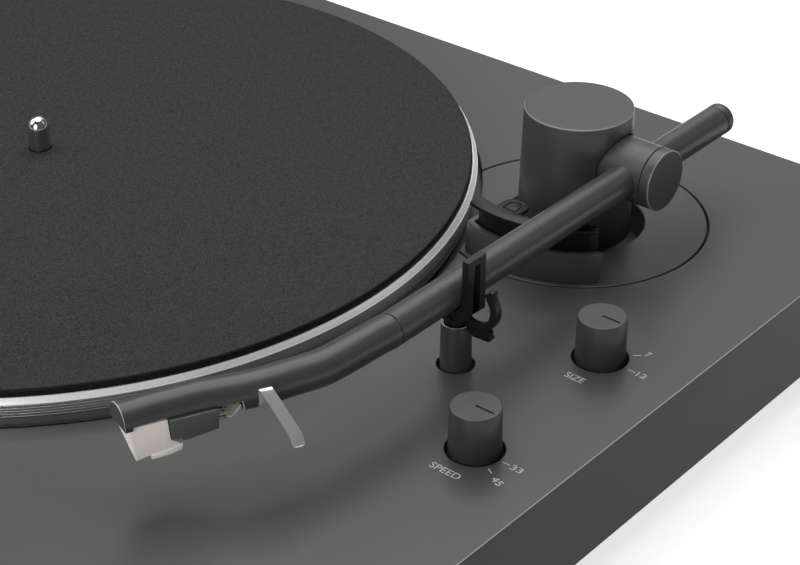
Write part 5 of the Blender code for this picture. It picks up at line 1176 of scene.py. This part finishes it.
def makeJacks():
    left, right, half = rearLook["plate"]
    face, level = rearLook["face"], rearLook["level"]
    plate = addBlock("outputJacks", (left, face + 0.3, level - half), (right, face + 1.3, level + half))
    softenEdges(plate, 0.3, 2, 60)
    plate.data.materials.append(finishes["blackPlastic"])
    parts = [plate]
    for x, colour in rearLook["jacks"]:
        parts.append(turnOnFace("shell", rearLook["shell"], x, 64, True, finishes["brass"]))
        parts.append(turnOnFace("core", rearLook["core"], x, 48, True, finishes[colour]))
    for piece in parts[1:]:
        smooth(piece, 35)
    jacks = joinPieces("outputJacks", parts)
    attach(jacks, "root")
    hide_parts("output_jacks")


def makeInlet():
    x, face, level, wall = (rearLook[name] for name in ("inlet", "face", "level", "inletWall"))
    halfX, halfZ = rearLook["inletHalf"]
    inlet = addBlock("powerInlet", (x - halfX, face + 0.3, level - halfZ),
                     (x + halfX, face + 7.3, level + halfZ))
    softenEdges(inlet, 0.5, 2, 60)
    hollow = addBlock("cutter", (x - halfX + wall, face + 1.8, level - halfZ + wall),
                      (x + halfX - wall, face + 9, level + halfZ - wall))
    softenEdges(hollow, 1.2, 4, 60)
    combine(inlet, [hollow])
    inlet.data.materials.append(finishes["blackPlastic"])
    smooth(inlet, 30)
    parts = [inlet]
    for side in rearLook["inletPins"]:
        parts.append(turnOnFace("pin", rearLook["inletPin"], x + side, 32, False, finishes["steel"]))
        smooth(parts[-1], 40)
    inlet = joinPieces("powerInlet", parts)
    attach(inlet, "root")
    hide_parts("power_inlet")


makeButtons()
makeUnderside()
makeRearPanel()
makeJacks()
makeInlet()
print("buttons, underside and rear made")


# Markings on the plinth top

markLook = {
    "thickness": 0.03, "sink": 0.01, "tickWidth": 0.32,
    "words": (  # text, place, width, height and turn in degrees
        ("SPEED", (182.8, -33.2), 9.9, 2.5, 0), ("33", (200.3, -20.2), 3.7, 2.3, 0),
        ("45", (199.3, -27.2), 3.6, 2.3, -20), ("SIZE", (185.1, 25.6), 6.3, 2.6, 0),
        ("7", (196.9, 49.4), 1.6, 2.3, 0), ("12", (200.9, 38.9), 3.0, 2.3, 0),
    ),
    "ticks": (
        ((197.2, -18.9), (199.6, -18.8)), ((196.0, -23.7), (198.1, -24.9)),
        ((194.5, 47.2), (196.3, 48.7)), ((197.6, 40.2), (200.1, 40.1)),
    ),
}


def printWord(words, place, width, height, turn):
    clearSelection()
    bpy.ops.object.text_add(location=(0, 0, 0))
    word = bpy.context.object
    word.data.body = words
    word.data.size = 0.01
    word.data.extrude = markLook["thickness"] / 2 * mm
    word.data.resolution_u = 6
    bpy.ops.object.convert(target="MESH")
    word = settle("word")
    low = Vector([min(vert.co[n] for vert in word.data.vertices) for n in range(3)])
    high = Vector([max(vert.co[n] for vert in word.data.vertices) for n in range(3)])
    scale = Vector((width * mm / (high.x - low.x), height * mm / (high.y - low.y), 1))
    bpy.ops.object.mode_set(mode="EDIT")
    bpy.ops.mesh.select_all(action="SELECT")
    bpy.ops.transform.translate(value=-low)
    bpy.ops.transform.resize(value=scale, center_override=(0, 0, 0))
    bpy.ops.object.mode_set(mode="OBJECT")
    word.rotation_euler = (0, 0, math.radians(turn))
    word.location = (place[0] * mm, place[1] * mm, (topZ - markLook["sink"]) * mm)
    return settle("word")


def printTick(start, end):
    start, end = Vector((*start, 0)), Vector((*end, 0))
    across = (end - start).normalized().cross(Vector((0, 0, 1))) * markLook["tickWidth"] / 2
    corners = (start - across, end - across, end + across, start + across)
    sink = markLook["sink"]
    return pressOut("tick", [(point.x, point.y) for point in corners], topZ - sink, topZ + sink * 2)


def makeMarkings():
    marks = [printWord(*word) for word in markLook["words"]]
    marks += [printTick(*ends) for ends in markLook["ticks"]]
    fitPiece(joinPieces("plinthMarkings", marks), "root", [], finishes["printedGrey"])


makeMarkings()
print("markings made")


# Camera, floor and light

studio = {
    "cameraPlace": (464.89, -382.10, 376.02), "cameraAim": (126.84, 21.89, 55.7), "lens": 92.54, "sensor": 36,
    "floorGlow": 0.73, "worldLevel": 0.12,
    "floor": {"colour": (0.40, 0.40, 0.40), "rough": 0.7, "grainScale": 60, "grainSpread": 0.005,
              "cloudSpread": 0.005, "bump": 0.02, "shine": 0.2},
    "lights": {  # size in metres, power in watts
        "keyLight": {"place": (-200, 380, 1560), "aim": (60, 20, 40), "size": 1.95, "power": 31},
        "leftLight": {"place": (-974, -590, 970), "aim": (60, 20, 40), "size": 1.4, "power": 10},
        "frontLight": {"place": (420, -1320, 600), "aim": (120, 20, 60), "size": 1.0, "power": 8},
        "rightLight": {"place": (880, 1092, 840), "aim": (60, 20, 40), "size": 0.8, "power": 0.7},
        "backLight": {"place": (-450, 1150, 760), "aim": (150, 80, 40), "size": 0.9, "power": 1.7},
    },
}


def aimAt(place, aim):  # location and rotation of a camera or light at one place that looks at another
    place, aim = Vector(place) * mm, Vector(aim) * mm
    return {"location": place, "rotation": (aim - place).to_track_quat("-Z", "Y").to_euler()}


def makeStudio():
    clearSelection()
    bpy.ops.object.camera_add(**aimAt(studio["cameraPlace"], studio["cameraAim"]))
    camera = bpy.context.object
    camera.name = "camera"
    camera.data.sensor_width = studio["sensor"]
    camera.data.lens = studio["lens"]
    camera.data.clip_start = 0.01
    camera.data.clip_end = 50
    bpy.context.scene.camera = camera

    clearSelection()
    bpy.ops.mesh.primitive_grid_add(x_subdivisions=4, y_subdivisions=4, size=8, location=(0, 0, -0.0002))
    floor = settle("floor")
    floor.data.materials.append(makeFinish("paleFloor", studio["floor"]))
    shader = floor.data.materials[0].node_tree.nodes["Principled BSDF"]
    setInputs(shader, {"Emission Color": (1, 1, 1, 1), "Emission Strength": studio["floorGlow"]})

    world = bpy.data.worlds.new("studioWorld")
    bpy.context.scene.world = world
    world.use_nodes = True
    setInputs(world.node_tree.nodes["Background"], {"Color": (1, 1, 1, 1), "Strength": studio["worldLevel"]})

    for name, look in studio["lights"].items():
        clearSelection()
        bpy.ops.object.light_add(type="AREA", **aimAt(look["place"], look["aim"]))
        lamp = bpy.context.object
        lamp.name = name
        lamp.data.shape = "DISK"
        lamp.data.size = look["size"]
        lamp.data.energy = look["power"]
    bpy.context.scene.view_settings.view_transform = "Standard"


makeStudio()
print("studio made")
